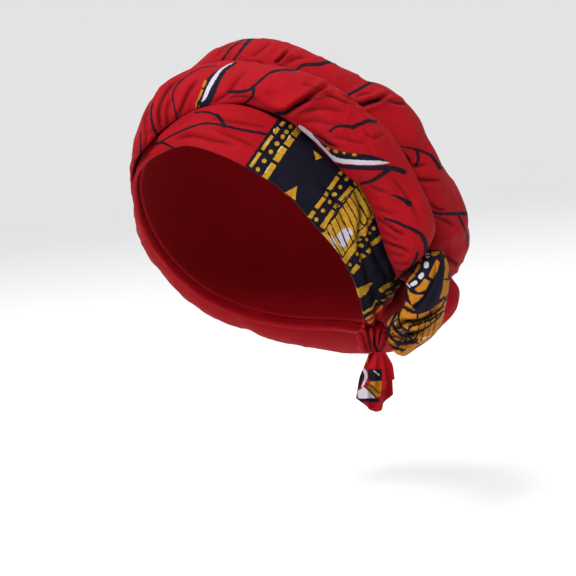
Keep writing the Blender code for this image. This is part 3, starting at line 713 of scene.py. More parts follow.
def unit(vectors):
    return vectors / np.linalg.norm(vectors, axis=-1, keepdims=True)


def hermite(left, right, slope_left, slope_right, share, span):
    """A smooth curve from one value to the next, with its slope at both."""
    square = share * share
    cube = square * share
    return (
        (2 * cube - 3 * square + 1) * left
        + (cube - 2 * square + share) * slope_left * span
        + (3 * square - 2 * cube) * right
        + (cube - square) * slope_right * span
    )


def read_column(places, values, slopes, at):
    """Values read between the rows on both sides of each place."""
    index = np.clip(np.searchsorted(places, at, side="right") - 1, 0, len(places) - 2)
    span = places[index + 1] - places[index]
    share = (at - places[index]) / span
    return hermite(values[index], values[index + 1], slopes[index], slopes[index + 1], share, span)


def read_round(table, column, ring):
    """A column of a table that closes on itself, read smoothly at ring angles."""
    places = np.array([row.ring for row in table], float)
    values = np.array([getattr(row, column) for row in table], float)
    places = np.concatenate((places[-2:] - 360.0, places, places[:2] + 360.0))
    values = np.concatenate((values[-2:], values, values[:2]))
    slopes = (values[2:] - values[:-2]) / (places[2:] - places[:-2])
    first = table[0].ring
    angle = (np.asarray(ring, float) - first) % 360.0 + first
    return read_column(places[1:-1], values[1:-1], slopes, angle)


def read_along(table, column, along):
    """A column of a table with two ends, read smoothly at shares of its length."""
    places = np.array([row.along for row in table], float)
    values = np.array([getattr(row, column) for row in table], float)
    low = np.maximum(np.arange(len(table)) - 1, 0)
    high = np.minimum(np.arange(len(table)) + 1, len(table) - 1)
    slopes = (values[high] - values[low]) / (places[high] - places[low])
    return read_column(places, values, slopes, np.asarray(along, float))


def degrees_of_fall(length, ring, fall, lift):
    """The degrees of fall that a length along the head comes to."""
    step = 0.5
    near = head_points(ring, fall - step, lift)[0]
    far = head_points(ring, fall + step, lift)[0]
    return length / (np.linalg.norm(far - near, axis=-1) / (2 * step))


def turn_apart(angle, other):
    """The signed difference between two ring angles."""
    return (angle - other + 180.0) % 360.0 - 180.0


def off_line(across, along, reach_across, reach_along):
    """How far places lie from a straight line from zero to a point."""
    square = reach_across ** 2 + reach_along ** 2
    share = np.clip((across * reach_across + along * reach_along) / square, 0.0, 1.0)
    return np.hypot(across - share * reach_across, along - share * reach_along)


def crease_depth(creases, ring, side):
    """How deep the twisting creases cut into a roll, as a share of its thickness."""
    depth = 0.0
    for crease in creases:
        distance = off_line(
            turn_apart(ring, crease.ring_a) * ROLL_PER_RING,
            ((side - crease.side_a + 100.0) % 360.0 - 100.0) * ROLL_PER_SIDE,
            (crease.ring_b - crease.ring_a) * ROLL_PER_RING,
            (crease.side_b - crease.side_a) * ROLL_PER_SIDE)
        depth = depth + crease.depth * np.exp(-(distance / crease.width) ** 2)
    return depth


def pleat_height(ring, share):
    """How far the band's pleats raise it, in metres."""
    height = 0.0
    for pleat in BAND_PLEATS:
        distance = off_line(
            turn_apart(ring, pleat.ring_a) * BAND_PER_RING, share - pleat.share_a,
            (pleat.ring_b - pleat.ring_a) * BAND_PER_RING, pleat.share_b - pleat.share_a)
        height = height + PLEAT_HEIGHT * pleat.height * np.exp(-(distance / pleat.width) ** 2)
    return height


def front_roll_half(ring):
    return FRONT_ROLL_THICKNESS * read_round(FRONT_ROLL, "width", ring) / 2


def rear_roll_half(ring):
    return REAR_ROLL_THICKNESS * read_round(REAR_ROLL, "width", ring) / 2


def front_roll_middle(ring):
    return ON_BAND_LIFT + FRONT_ROLL_THICKNESS * read_round(FRONT_ROLL, "height", ring) / 2


def rear_roll_middle(ring):
    return BAND_LIFT + REAR_ROLL_THICKNESS * read_round(REAR_ROLL, "height", ring) / 2


def roll_points(ring, side, fall, half, middle, seat, crease):
    """Points round a roll's section. Its outer half sinks at the creases."""
    angle = np.radians(side)
    cosine = np.sign(np.cos(angle)) * np.abs(np.cos(angle)) ** ROLL_SQUARENESS
    sine = np.sign(np.sin(angle)) * np.abs(np.sin(angle)) ** ROLL_SQUARENESS
    shrink = 1.0 - crease
    lift = middle + (middle - seat) * sine * np.where(sine > 0, shrink, 1.0)
    across = degrees_of_fall(half, ring, fall, middle) * cosine * shrink
    return head_points(ring, fall + across, lift)[0]


def front_roll_points(ring, side):
    return roll_points(ring, side, read_round(FRONT_ROLL, "fall", ring), front_roll_half(ring),
                       front_roll_middle(ring), ON_BAND_LIFT, crease_depth(FRONT_CREASES, ring, side))


def rear_roll_fall(ring):
    """The fall of the rear roll's middle, where it lies against the front roll's edge."""
    front = read_round(FRONT_ROLL, "fall", ring)
    edge = front - degrees_of_fall(front_roll_half(ring), ring, front, front_roll_middle(ring))
    half = rear_roll_half(ring)
    rear = edge
    for _ in range(4):
        rear = edge - degrees_of_fall(half + SEAT_GAP, ring, rear, rear_roll_middle(ring))
    return rear


def rear_roll_points(ring, side):
    return roll_points(ring, side, rear_roll_fall(ring), rear_roll_half(ring),
                       rear_roll_middle(ring), BAND_LIFT, crease_depth(REAR_CREASES, ring, side))


def band_top(ring):
    """The fall of the band's top edge: tucked under the front roll, or just clear of it."""
    centre = read_round(FRONT_ROLL, "fall", ring)
    below = centre + degrees_of_fall(front_roll_half(ring) + SEAT_GAP, ring, centre, front_roll_middle(ring))
    tuck = np.clip(read_round(BAND, "tuck", ring), 0.0, 1.0)
    return below + (centre - BAND_TUCK - below) * tuck


def band_points(ring, share):
    """Points on the band's outer side: share 0 at its lower edge, 1 at its top edge."""
    lower = read_round(BAND, "lower", ring)
    fall = lower + (band_top(ring) - lower) * share
    proud = FRONT_ROLL_THICKNESS * np.maximum(read_round(BAND, "proud", ring), 0.0) * share ** 2
    return head_points(ring, fall, BAND_LIFT + proud + pleat_height(ring, share) + BAND_WALL)[0]


def puff_centre(along):
    lift = FRONT_ROLL_THICKNESS * read_along(PUFF, "lift", along)
    return head_points(read_along(PUFF, "ring", along), read_along(PUFF, "fall", along), lift)[0]


def puff_heading(place):
    ahead = puff_centre(np.minimum(place + PUFF_STEP, 1.0)) - puff_centre(np.maximum(place - PUFF_STEP, 0.0))
    return unit(ahead)


def knot_axes():
    """The knot's outward, sideways and lengthwise directions."""
    outward = head_points(KNOT_RING, KNOT_FALL, 0.0)[1]
    axis = head_points(KNOT_RING + 1, KNOT_FALL, 0.0)[0] - head_points(KNOT_RING - 1, KNOT_FALL, 0.0)[0]
    axis = unit(axis)
    return outward, unit(np.cross(axis, outward)), axis


def knot_offsets(along, side):
    """Points on the knot from its centre: along from pole to pole, side round it, with its gathers."""
    outward, sideways, axis = knot_axes()
    polar = np.pi * along[..., None]
    angle = np.radians(side)[..., None]
    radius = np.sin(polar) * (1 + KNOT_PLEAT_SHARE * np.cos(KNOT_PLEATS * angle)) / 2
    return (
        outward * (KNOT_THICKNESS * radius * np.sin(angle))
        + sideways * (KNOT_LENGTH * radius * np.cos(angle))
        - axis * (KNOT_THICKNESS / 2 * np.cos(polar))
    )


def knot_reach(way):
    """How far the knot reaches from its centre in a direction."""
    along, side = np.meshgrid(np.linspace(0.0, 1.0, 13), np.arange(0.0, 360.0, 22.5), indexing="ij")
    return float((knot_offsets(along, side) @ way).max())


def knot_centre():
    lift = ON_BAND_LIFT + knot_reach(-knot_axes()[0])
    return head_points(KNOT_RING, KNOT_FALL, lift)[0]


def puff_end():
    """The share of the puff's centre line where it meets the knot."""
    low = 0.5
    high = 1.0
    for _ in range(30):
        middle = (low + high) / 2
        back = -puff_heading(middle)
        apart = float((puff_centre(middle) - knot_centre()) @ back)
        if apart > knot_reach(back) + SEAT_GAP:
            low = middle
        else:
            high = middle
    return low


def direction(azimuth, elevation):
    """The direction toward an azimuth, counted from the face to the wearer's left, and an elevation."""
    turn = math.radians(azimuth)
    climb = math.radians(elevation)
    return Vector((math.sin(turn) * math.cos(climb), -math.cos(turn) * math.cos(climb), math.sin(climb)))


def photo_axes():
    """The directions toward the camera, to the photo's right and to its top."""
    turn = math.radians(CAMERA_AZIMUTH)
    lean = math.radians(CAMERA_LEAN)
    back = direction(CAMERA_AZIMUTH, CAMERA_ELEVATION)
    level = Vector((math.cos(turn), math.sin(turn), 0.0))
    upright = back.cross(level)
    right = level * math.cos(lean) - upright * math.sin(lean)
    up = level * math.sin(lean) + upright * math.cos(lean)
    return back, right, up


def photo_pixels(points):
    """Where points of the model lie in the photograph."""
    back, right, up = (np.array(axis) for axis in photo_axes())
    offset = points.reshape(-1, 3) - np.array(TARGET)
    scale = CAMERA_DISTANCE / (CAMERA_DISTANCE - offset @ back) / METRES_PER_PIXEL
    return np.stack((
        TARGET_PIXEL[0] + (offset @ right) * scale,
        TARGET_PIXEL[1] - (offset @ up) * scale,
    ), axis=-1)


def smooth_line(points, steps=5):
    """A smooth line through points."""
    points = np.array(points, float)
    if len(points) < 3:
        return points
    padded = np.concatenate((2 * points[:1] - points[1:2], points, 2 * points[-1:] - points[-2:-1]))
    out = []
    for i in range(1, len(padded) - 2):
        before, left, right, after = padded[i - 1:i + 3]
        for k in range(steps):
            share = k / steps
            out.append(hermite(left, right, (right - before) / 2, (after - left) / 2, share, 1.0))
    out.append(points[-1])
    return np.array(out)


def line_distance(places, line, limit):
    """For the places near a line: which they are, how far it is, its share there and which side."""
    low = line.min(axis=0) - limit
    high = line.max(axis=0) + limit
    near = np.nonzero(np.all((places > low) & (places < high), axis=-1))[0]
    spots = places[near]
    best = np.full(len(near), float(limit))
    share = np.zeros(len(near))
    beside = np.zeros(len(near))
    count = len(line) - 1
    for i in range(count):
        ahead = line[i + 1] - line[i]
        length = max(float(ahead @ ahead), 1e-9)
        part = np.clip(((spots - line[i]) @ ahead) / length, 0.0, 1.0)
        apart = spots - line[i] - part[:, None] * ahead
        distance = np.hypot(apart[:, 0], apart[:, 1])
        closer = distance < best
        best = np.where(closer, distance, best)
        share = np.where(closer, (i + part) / count, share)
        cross = ahead[0] * apart[:, 1] - ahead[1] * apart[:, 0]
        beside = np.where(closer, np.sign(cross), beside)
    return near, best, share, beside


def stroke_field(places, strokes, limit=HIDDEN_LIMIT):
    """How far each place lies outside the drawn lines: negative inside one."""
    field = np.full(len(places), float(limit))
    for stroke in strokes:
        near, distance, share, _ = line_distance(places, smooth_line(stroke.points), limit)
        half = (stroke.start + (stroke.end - stroke.start) * share) / 2
        field[near] = np.minimum(field[near], distance - half)
    return field


def shape_field(places, shapes, limit=HIDDEN_LIMIT):
    """How far each place lies outside the filled shapes: negative inside one."""
    field = np.full(len(places), float(limit))
    for shape in shapes:
        line = np.array(tuple(shape) + tuple(shape[:1]), float)
        near, distance, _, _ = line_distance(places, line, limit)
        spots = places[near]
        inside = np.zeros(len(near), bool)
        for (x0, y0), (x1, y1) in zip(line[:-1], line[1:]):
            crosses = (y0 > spots[:, 1]) != (y1 > spots[:, 1])
            reach = x0 + (spots[:, 1] - y0) * (x1 - x0) / (y1 - y0 if y1 != y0 else 1e-9)
            inside ^= crosses & (spots[:, 0] < reach)
        field[near] = np.minimum(field[near], np.where(inside, -distance, distance))
    return field


def toward_ends(share, steepness):
    """1 along a line, fading to 0 at both of its ends."""
    return np.clip(np.minimum(share, 1.0 - share) * steepness, 0.0, 1.0)


def fold_height(places, folds):
    """How far the folds raise the cloth at each place, in metres: a groove, its shoulders and a lap."""
    height = np.zeros(len(places))
    for fold in folds:
        width = fold.width
        near, distance, share, beside = line_distance(places, smooth_line(fold.points), FOLD_REACH * width)
        groove = np.exp(-distance / width)
        off_shoulder = (distance - SHOULDER_PLACE * width) / (SHOULDER_WIDTH * width)
        shoulder = SHOULDER_HEIGHT * np.exp(-off_shoulder ** 2)
        lap = fold.lap * np.where(beside > 0, np.exp(-distance / (LAP_REACH * width)), 0.0)
        relief = FOLD_RELIEF * toward_ends(share, 5.0) ** 0.7
        height[near] += relief * (fold.depth * (shoulder - groove) + lap)
    return height


def fold_shade(places, folds):
    """Painted shade at the folds: how near each place lies to the bottom of a fold, 0 there and 1 away from
    it.
    """
    shade = np.ones(len(places))
    for fold in folds:
        reach = 0.9 + 0.7 * fold.depth
        near, distance, share, _ = line_distance(places, smooth_line(fold.points), 3.0 * reach)
        strength = toward_ends(share, 4.0) * min(0.35 + 0.3 * fold.depth, 0.9)
        shade[near] = np.minimum(shade[near], 1.0 - strength * np.exp(-(distance / reach) ** 2))
    return shade


def soft_noise(u, v, seed, wrap=LATTICE):
    """Smooth noise from -1 to 1 over two coordinates, one lattice cell a unit."""
    lattice = np.random.RandomState(seed).uniform(-1.0, 1.0, (LATTICE, LATTICE))
    column = np.floor(u).astype(int)
    row = np.floor(v).astype(int)
    across = u - column
    down = v - row
    across = across * across * (3 - 2 * across)
    down = down * down * (3 - 2 * down)

    def blend(line):
        left = lattice[column % wrap, line % LATTICE]
        right = lattice[(column + 1) % wrap, line % LATTICE]
        return left * (1 - across) + right * across

    return blend(row) * (1 - down) + blend(row + 1) * down


def round_noise(ring, v, seed, cells):
    """Soft noise with a number of cells round the head, closed on itself."""
    return soft_noise(ring / 360.0 * cells, v, seed, wrap=cells)


def crumple(ring, side, seed):
    """Fine soft crumples over a roll, in metres. They run across it and close round the ring."""
    slanted = side / 40.0 + ring / 30.0
    wide = round_noise(ring, slanted, seed, 30)
    small = round_noise(ring, slanted * 2.2, seed + 1, 60)
    ridge = 1.0 - np.abs(round_noise(ring, slanted * 1.1, seed + 2, 45)) * 2.0
    return CRUMPLE * wide + SMALL_CRUMPLE * small + RIDGE * np.clip(ridge, 0.0, 1.0) ** 3


def grid_normals(points, wrap_rows, wrap_columns):
    """Directions square to a grid of points, from its neighbours."""
    def step(axis, wraps):
        ahead = np.roll(points, -1, axis=axis)
        behind = np.roll(points, 1, axis=axis)
        if not wraps:
            first = [slice(None)] * 3
            last = [slice(None)] * 3
            first[axis] = 0
            last[axis] = -1
            behind[tuple(first)] = points[tuple(first)]
            ahead[tuple(last)] = points[tuple(last)]
        return ahead - behind

    normal = np.cross(step(0, wrap_rows), step(1, wrap_columns))
    length = np.linalg.norm(normal, axis=-1, keepdims=True)
    return normal / np.maximum(length, 1e-12)


def roll_normals(points):
    """Outward directions on a closed roll."""
    normals = grid_normals(points, True, True)
    if float((normals * (points - points.mean(axis=1, keepdims=True))).sum()) < 0:
        normals = -normals
    return normals


def stepped(runs):
    """The values of all runs, one after the other."""
    return np.concatenate([np.arange(*run) for run in runs])


def wall_grid(rings, outer, inner):
    """A grid over both sides of a wall: ring angles, shares across it, and 1 outside and 0 inside."""
    wall = np.concatenate((np.ones(len(outer)), np.zeros(len(inner))))
    ring, share = np.meshgrid(stepped(rings), np.concatenate((outer, inner)), indexing="ij")
    return ring, share, np.broadcast_to(wall, ring.shape)


def grid_faces(lines, columns, wrap_lines=True):
    """The faces of a grid of points that closes on itself across, and along too where wrap_lines says."""
    i, k = np.meshgrid(np.arange(lines if wrap_lines else lines - 1), np.arange(columns), indexing="ij")
    j = (i + 1) % lines
    m = (k + 1) % columns
    faces = np.stack((i * columns + k, i * columns + m, j * columns + m, j * columns + k), axis=-1)
    return list(map(tuple, faces.reshape(-1, 4)))


def tube_faces(lines, columns):
    """The faces of a tube of points with both of its ends closed."""
    last = (lines - 1) * columns
    ends = [tuple(range(columns))[::-1], tuple(range(last, last + columns))]
    return grid_faces(lines, columns, wrap_lines=False) + ends


def add_cloth(name, node, material, points, faces, flat, fields):
    """One piece of cloth: a smooth mesh with its flat place in mm and its print and painted fold shade kept
    on it.
    """
    mesh = bpy.data.meshes.new(name)
    mesh.from_pydata(points.reshape(-1, 3), [], faces)
    corners = np.zeros(len(mesh.loops), np.int32)
    mesh.loops.foreach_get("vertex_index", corners)
    layer = mesh.uv_layers.new(name="flat_mm")
    layer.data.foreach_set("uv", flat.reshape(-1, 2)[corners].astype(np.float32).ravel())
    for field, values in fields.items():
        attribute = mesh.attributes.new(field, "FLOAT", "POINT")
        attribute.data.foreach_set("value", np.asarray(values, np.float32).ravel())
    mesh.shade_smooth()
    mesh.materials.append(material)
    mesh.validate()
    item = bpy.data.objects.new(name, mesh)
    bpy.context.scene.collection.objects.link(item)
    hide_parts(node)
    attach(item, "root")
    return item


def toward_camera(normals):
    return normals.reshape(-1, 3) @ np.array(photo_axes()[0])


def frontal(normals):
    """How squarely places face the camera: 0 from the side or behind, 1 from the front."""
    return np.clip(toward_camera(normals) / 0.3, 0.0, 1.0)


def hidden_strokes(seed, first, last, step, low, high):
    """Branching veins for the sides that the photograph doesn't show, in mm along and round a piece."""
    random = np.random.RandomState(seed)
    strokes = []
    place = first
    while place < last:
        drift = random.uniform(-0.35, 0.35, 5) * step
        heights = np.linspace(low, high, 5)
        points = [(place + drift[i] + 0.25 * step * i, heights[i]) for i in range(5)]
        strokes.append(Stroke(random.uniform(1.4, 2.6), random.uniform(2.4, 4.2), points))
        start = points[random.randint(1, 4)]
        branch = (start, (start[0] + 0.3 * step, start[1] + random.uniform(-6, 6)),
                  (start[0] + random.uniform(0.5, 0.8) * step, start[1] + random.uniform(-14, 14)))
        strokes.append(Stroke(random.uniform(2.6, 3.8), 1.2, branch))
        place += step * random.uniform(0.8, 1.2)
    return strokes


def print_fields(points, normals, navy=(), gold=(), gold_strokes=(), white=(), white_strokes=(),
                 veins=(), folds=(), hidden=None):
    """The print on a piece, in mm from each colour's edge, from what the photo shows of it."""
    pixels = photo_pixels(points)
    seen = toward_camera(normals) > 0.0
    fields = {
        "navy": shape_field(pixels, navy),
        "gold": np.minimum(shape_field(pixels, gold), stroke_field(pixels, gold_strokes)),
        "white": np.minimum(shape_field(pixels, white), stroke_field(pixels, white_strokes)),
        "vein": stroke_field(pixels, veins),
    }
    for name in fields:
        fields[name] = np.where(seen, fields[name], HIDDEN_LIMIT) * MM_PER_PIXEL
    # Painted shade along the folds, on the sides that face the camera
    fields["fold"] = 1.0 - (1.0 - fold_shade(pixels, folds)) * frontal(normals)
    if hidden is not None:
        fields["vein"] = np.where(seen, fields["vein"], hidden)
    return fields


def plain_fields(count):
    """The print of a cloth that has no colour laid on."""
    return {name: np.full(count, HIDDEN_LIMIT) for name in ("navy", "gold", "white")}


def new_material(name):
    """A material with a plain shader, its node tree and the shader."""
    material = bpy.data.materials.new(name)
    material.use_nodes = True
    tree = material.node_tree
    tree.nodes.clear()
    output = add_node(tree, "ShaderNodeOutputMaterial")
    shader = add_node(tree, "ShaderNodeBsdfPrincipled")
    tree.links.new(shader.outputs[0], output.inputs["Surface"])
    return material, tree, shader


def add_node(tree, kind, values=(), **settings):
    node = tree.nodes.new(kind)
    for key, value in settings.items():
        setattr(node, key, value)
    for key, value in dict(values).items():
        node.inputs[key].default_value = value
    return node


def mix_colour(tree, factor, under, over):
    """Lays one colour over another where the factor is 1."""
    node = add_node(tree, "ShaderNodeMix", data_type="RGBA")
    tree.links.new(factor, node.inputs[0])
    for place, source in ((6, under), (7, over)):
        if isinstance(source, tuple):
            node.inputs[place].default_value = (*source, 1.0)
        else:
            tree.links.new(source, node.inputs[place])
    return node.outputs[2]


def scaled(tree, colour, strength):
    """A colour, fixed or from another node, times a strength."""
    node = add_node(tree, "ShaderNodeVectorMath", operation="SCALE")
    if isinstance(colour, tuple):
        node.inputs[0].default_value = colour
    else:
        tree.links.new(colour, node.inputs[0])
    tree.links.new(strength, node.inputs["Scale"])
    return node.outputs[0]


def noise_at(tree, source, scale, detail, roughness=0.5):
    node = add_node(tree, "ShaderNodeTexNoise",
                    {"Scale": scale, "Detail": detail, "Roughness": roughness})
    tree.links.new(source, node.inputs["Vector"])
    return node.outputs[0]


def map_range(tree, source, low, high, start, end, kind="LINEAR"):
    node = add_node(tree, "ShaderNodeMapRange",
                    {"From Min": low, "From Max": high, "To Min": start, "To Max": end},
                    interpolation_type=kind)
    tree.links.new(source, node.inputs["Value"])
    return node.outputs[0]


def math_node(tree, operation, first, second):
    node = add_node(tree, "ShaderNodeMath", operation=operation)
    for place, source in enumerate((first, second)):
        if isinstance(source, (int, float)):
            node.inputs[place].default_value = source
        else:
            tree.links.new(source, node.inputs[place])
    return node.outputs[0]


def attribute_value(tree, name):
    return add_node(tree, "ShaderNodeAttribute", attribute_name=name).outputs["Fac"]


def bump(tree, height, strength, distance):
    node = add_node(tree, "ShaderNodeBump", {"Strength": strength, "Distance": distance})
    tree.links.new(height, node.inputs["Height"])
    return node


def weave_bump(tree, soft):
    """The threads of a plain weave, and the soft unevenness of worn cotton."""
    flat = add_node(tree, "ShaderNodeUVMap", uv_map="flat_mm").outputs[0]
    split = add_node(tree, "ShaderNodeSeparateXYZ")
    tree.links.new(flat, split.inputs[0])
    threads = []
    for axis in (0, 1):
        turned = math_node(tree, "MULTIPLY", split.outputs[axis], 2 * math.pi / THREAD_PITCH_MM)
        threads.append(math_node(tree, "SINE", turned, 0.0))
    fine = bump(tree, math_node(tree, "MULTIPLY", *threads), *THREAD_BUMP)
    broad = bump(tree, soft, *CLOTH_BUMP)
    tree.links.new(fine.outputs[0], broad.inputs["Normal"])
    return broad.outputs[0]


def wax_cotton(name, ground, gold=GOLD, roughness=COTTON_ROUGHNESS, fade=1.0, tints=False):
    """Wax-print cotton: a dyed ground with drawn lines, navy, gold and white laid over it, and painted fold
    shade.
    """
    material, tree, shader = new_material(name)
    for socket, value in (("Roughness", roughness), ("Specular IOR Level", SPECULAR_LEVEL),
                          ("Sheen Weight", SHEEN_WEIGHT), ("Sheen Roughness", SHEEN_ROUGHNESS),
                          ("Sheen Tint", SHEEN_TINT)):
        shader.inputs[socket].default_value = value
    place = add_node(tree, "ShaderNodeTexCoord").outputs["Object"]
    dye = noise_at(tree, place, DYE_SCALE, detail=4.0)
    mottle = noise_at(tree, place, MOTTLE_SCALE, detail=3.0, roughness=0.6)
    worn = noise_at(tree, place, WORN_SCALE, detail=2.0)
    unsteady = noise_at(tree, place, WOBBLE_SCALE, detail=2.0)
    wobble = map_range(tree, unsteady, 0.0, 1.0, -PRINT_WOBBLE_MM, PRINT_WOBBLE_MM)

    def dyed(colour, noise, dark, light):
        strength = map_range(tree, noise, 0.25, 0.75, dark, light)
        return scaled(tree, tuple(fade * c for c in colour), strength)

    colour = dyed(ground, dye, *GROUND_RANGE)
    layers = [Dye("navy", NAVY, 0.75, 1.3), Dye("gold", gold, 0.62, 1.22), Dye("white", WHITE, 0.9, 1.05),
              Dye("vein", LINE, 0.8, 1.25)]
    if tints:
        layers.insert(2, Dye("tint", TINT, 0.55, 1.3))
    for layer in layers:
        over = dyed(layer.colour, mottle, layer.dark, layer.light)
        if layer.field == "gold":
            over = mix_colour(tree, map_range(tree, worn, 0.45, 0.75, 0.0, 0.75), over, GOLD_SHADE)
        edge = math_node(tree, "ADD", attribute_value(tree, layer.field), wobble)
        mask = map_range(tree, edge, -PRINT_EDGE_MM, PRINT_EDGE_MM, 1.0, 0.0, "SMOOTHSTEP")
        colour = mix_colour(tree, mask, colour, over)
    # Painted shade: the colour is darkened toward the bottoms of the folds
    painted_shade = map_range(tree, attribute_value(tree, "fold"), 0.0, 1.0, PAINTED_FOLD_SHADE, 1.0)
    tree.links.new(scaled(tree, colour, painted_shade), shader.inputs["Base Color"])
    tree.links.new(weave_bump(tree, dye), shader.inputs["Normal"])
    return material


def add_roll(name, node, points_at, thickness, folds, prints, seed, material):
    """A padded roll: its packed form with the photo's folds, soft crumples and print."""
    ring, side = np.meshgrid(stepped(ROLL_RINGS), stepped(ROLL_SIDES), indexing="ij")
    points = points_at(ring, side)
    normals = roll_normals(points)
    raised = (fold_height(photo_pixels(points), folds) * frontal(normals)).reshape(ring.shape)
    free = np.clip(np.sin(np.radians(side)) * 1.6 + 0.5, 0.0, 1.0)
    raised = raised * free + crumple(ring, side, seed) * free
    points = points + normals * raised[..., None]
    flat = np.stack((np.radians(ring) * ROLL_RADIUS_MM, np.radians(side) * thickness / 2 * MM), axis=-1)
    hidden = stroke_field(flat.reshape(-1, 2), hidden_strokes(seed, *ROLL_HIDDEN_VEINS))
    fields = print_fields(points, roll_normals(points), folds=folds, hidden=hidden, **prints)
    piece = add_cloth(name, node, material, points, grid_faces(*ring.shape), flat, fields)


def column_line(column):
    return smooth_line((column.top, column.middle, column.bottom), steps=12)


def line_place(line, share):
    """The point at a share of a line, carried on past its ends."""
    index = share * (len(line) - 1)
    low = int(np.clip(math.floor(index), 0, len(line) - 2))
    return line[low] + (line[low + 1] - line[low]) * (index - low)


def dash_on(column, start, end):
    """A dash of a border column, between two shares of its length."""
    line = column_line(column)
    places = np.array([line_place(line, share) for share in np.linspace(start, end, 4)])
    ahead = unit(np.gradient(places, axis=0))
    aside = np.stack((-ahead[:, 1], ahead[:, 0]), axis=-1) * column.width / 2
    return tuple(map(tuple, np.concatenate((places + aside, (places - aside)[::-1]))))


def dot_on(column, share):
    x, y = line_place(column_line(column), share)
    return Stroke(column.width, column.width, ((x, y), (x + 0.1, y + 0.1)))


def add_band(material):
    """The flat band: outer cloth with its border print, a soft hem, and the inner cloth."""
    ring, share, wall = wall_grid(BAND_RINGS, np.linspace(0.0, 1.0, 98), np.linspace(1.0, 0.0, 16))
    skin = band_points(ring, share)
    normals = -grid_normals(skin, True, False)
    outward = head_points(ring, 100.0, 0.0)[1]
    normals = np.where((normals * outward).sum(axis=-1, keepdims=True) < 0, -normals, normals)
    pixels = photo_pixels(skin)
    seen = toward_camera(normals) > 0.0
    raised = np.where(seen, fold_height(pixels, BAND_FOLDS), 0.0).reshape(ring.shape)
    raised = raised + BAND_SWELL * round_noise(ring, share * 4.0, 31, 40)
    hem = HEM_HEIGHT * np.exp(-(share / 0.05) ** 2)
    points = skin + normals * (raised + hem)[..., None] - normals * (BAND_WALL * (1 - wall))[..., None]
    flat = np.stack((np.radians(ring) * BAND_RADIUS_MM, share * BAND_HEIGHT_MM), axis=-1)
    hidden = stroke_field(flat.reshape(-1, 2), hidden_strokes(7, *BAND_HIDDEN_VEINS))
    dashes = tuple(dash_on(column, *mark) for column in GOLD_COLUMNS for mark in column.marks)
    dots = tuple(dot_on(column, mark) for column in DOT_COLUMNS for mark in column.marks)
    fields = print_fields(skin, normals, navy=BAND_NAVY, gold=dashes + BAND_GOLD + (BLOCK_GOLD,),
                          gold_strokes=dots + END_GOLD, white=BLOCK_WHITE, veins=BAND_VEINS + BLOCK_LINES,
                          hidden=np.where(wall.ravel() > 0.0, hidden, HIDDEN_LIMIT))
    fields["tint"] = np.where(seen, stroke_field(pixels, TINTS), HIDDEN_LIMIT) * MM_PER_PIXEL
    # Painted shade along the band's folds
    fields["fold"] = np.where(seen, fold_shade(pixels, BAND_FOLDS), 1.0)
    piece = add_cloth("band_cloth", "head_band", material, points,
                      grid_faces(*ring.shape), flat, fields)


def add_cap(material):
    """The cap: gathers that run in to the crown outside, and plain cloth inside."""
    ring, share, wall = wall_grid(CAP_RINGS, np.linspace(CAP_HOLE, 1.0, 84), np.linspace(1.0, CAP_HOLE, 100))
    turn = np.radians(ring)
    gathers = np.cos(np.radians(ring * CAP_GATHERS) + 2.0 * round_noise(ring, share * 3.0, 5, 12))
    tucks = np.cos(np.radians(ring * CAP_TUCKS) + 3.0 * round_noise(ring, share * 3.0, 6, 12))
    rise = CAP_GATHER_HEIGHT * gathers * np.exp(-((share - 0.14) / 0.16) ** 2)
    rise = (rise + CAP_TUCK_HEIGHT * tucks * np.exp(-((share - 0.50) / 0.12) ** 2)) * wall
    hem = read_round(BAND, "lower", ring) - CAP_HEM
    points = head_points(ring, hem * share, CAP_WALL * wall + rise)[0]
    flat = np.stack((turn * CAP_RADIUS_MM, share * CAP_REACH_MM), axis=-1)
    from_crown = np.stack((share * CAP_REACH_MM * np.cos(turn), share * CAP_REACH_MM * np.sin(turn)), axis=-1)
    across, down = CAP_VEIN_SHIFT_MM
    veins = [Stroke(stroke.start, stroke.end, [(x - across, y - down) for x, y in stroke.points])
             for stroke in hidden_strokes(3, *CAP_VEINS)]
    fields = plain_fields(ring.size)
    fields["vein"] = np.where(wall.ravel() > 0, stroke_field(from_crown.reshape(-1, 2), veins), HIDDEN_LIMIT)
    fields["fold"] = np.ones(ring.size)
    lines, columns = ring.shape
    faces = [face for face in grid_faces(lines, columns)
             if {face[0] % columns, face[1] % columns} != {0, columns - 1}]
    faces.append(tuple(i * columns for i in range(lines))[::-1])
    faces.append(tuple(i * columns + columns - 1 for i in range(lines)))
    add_cloth("cap_cloth", "crown_cap", material, points, faces, flat, fields)


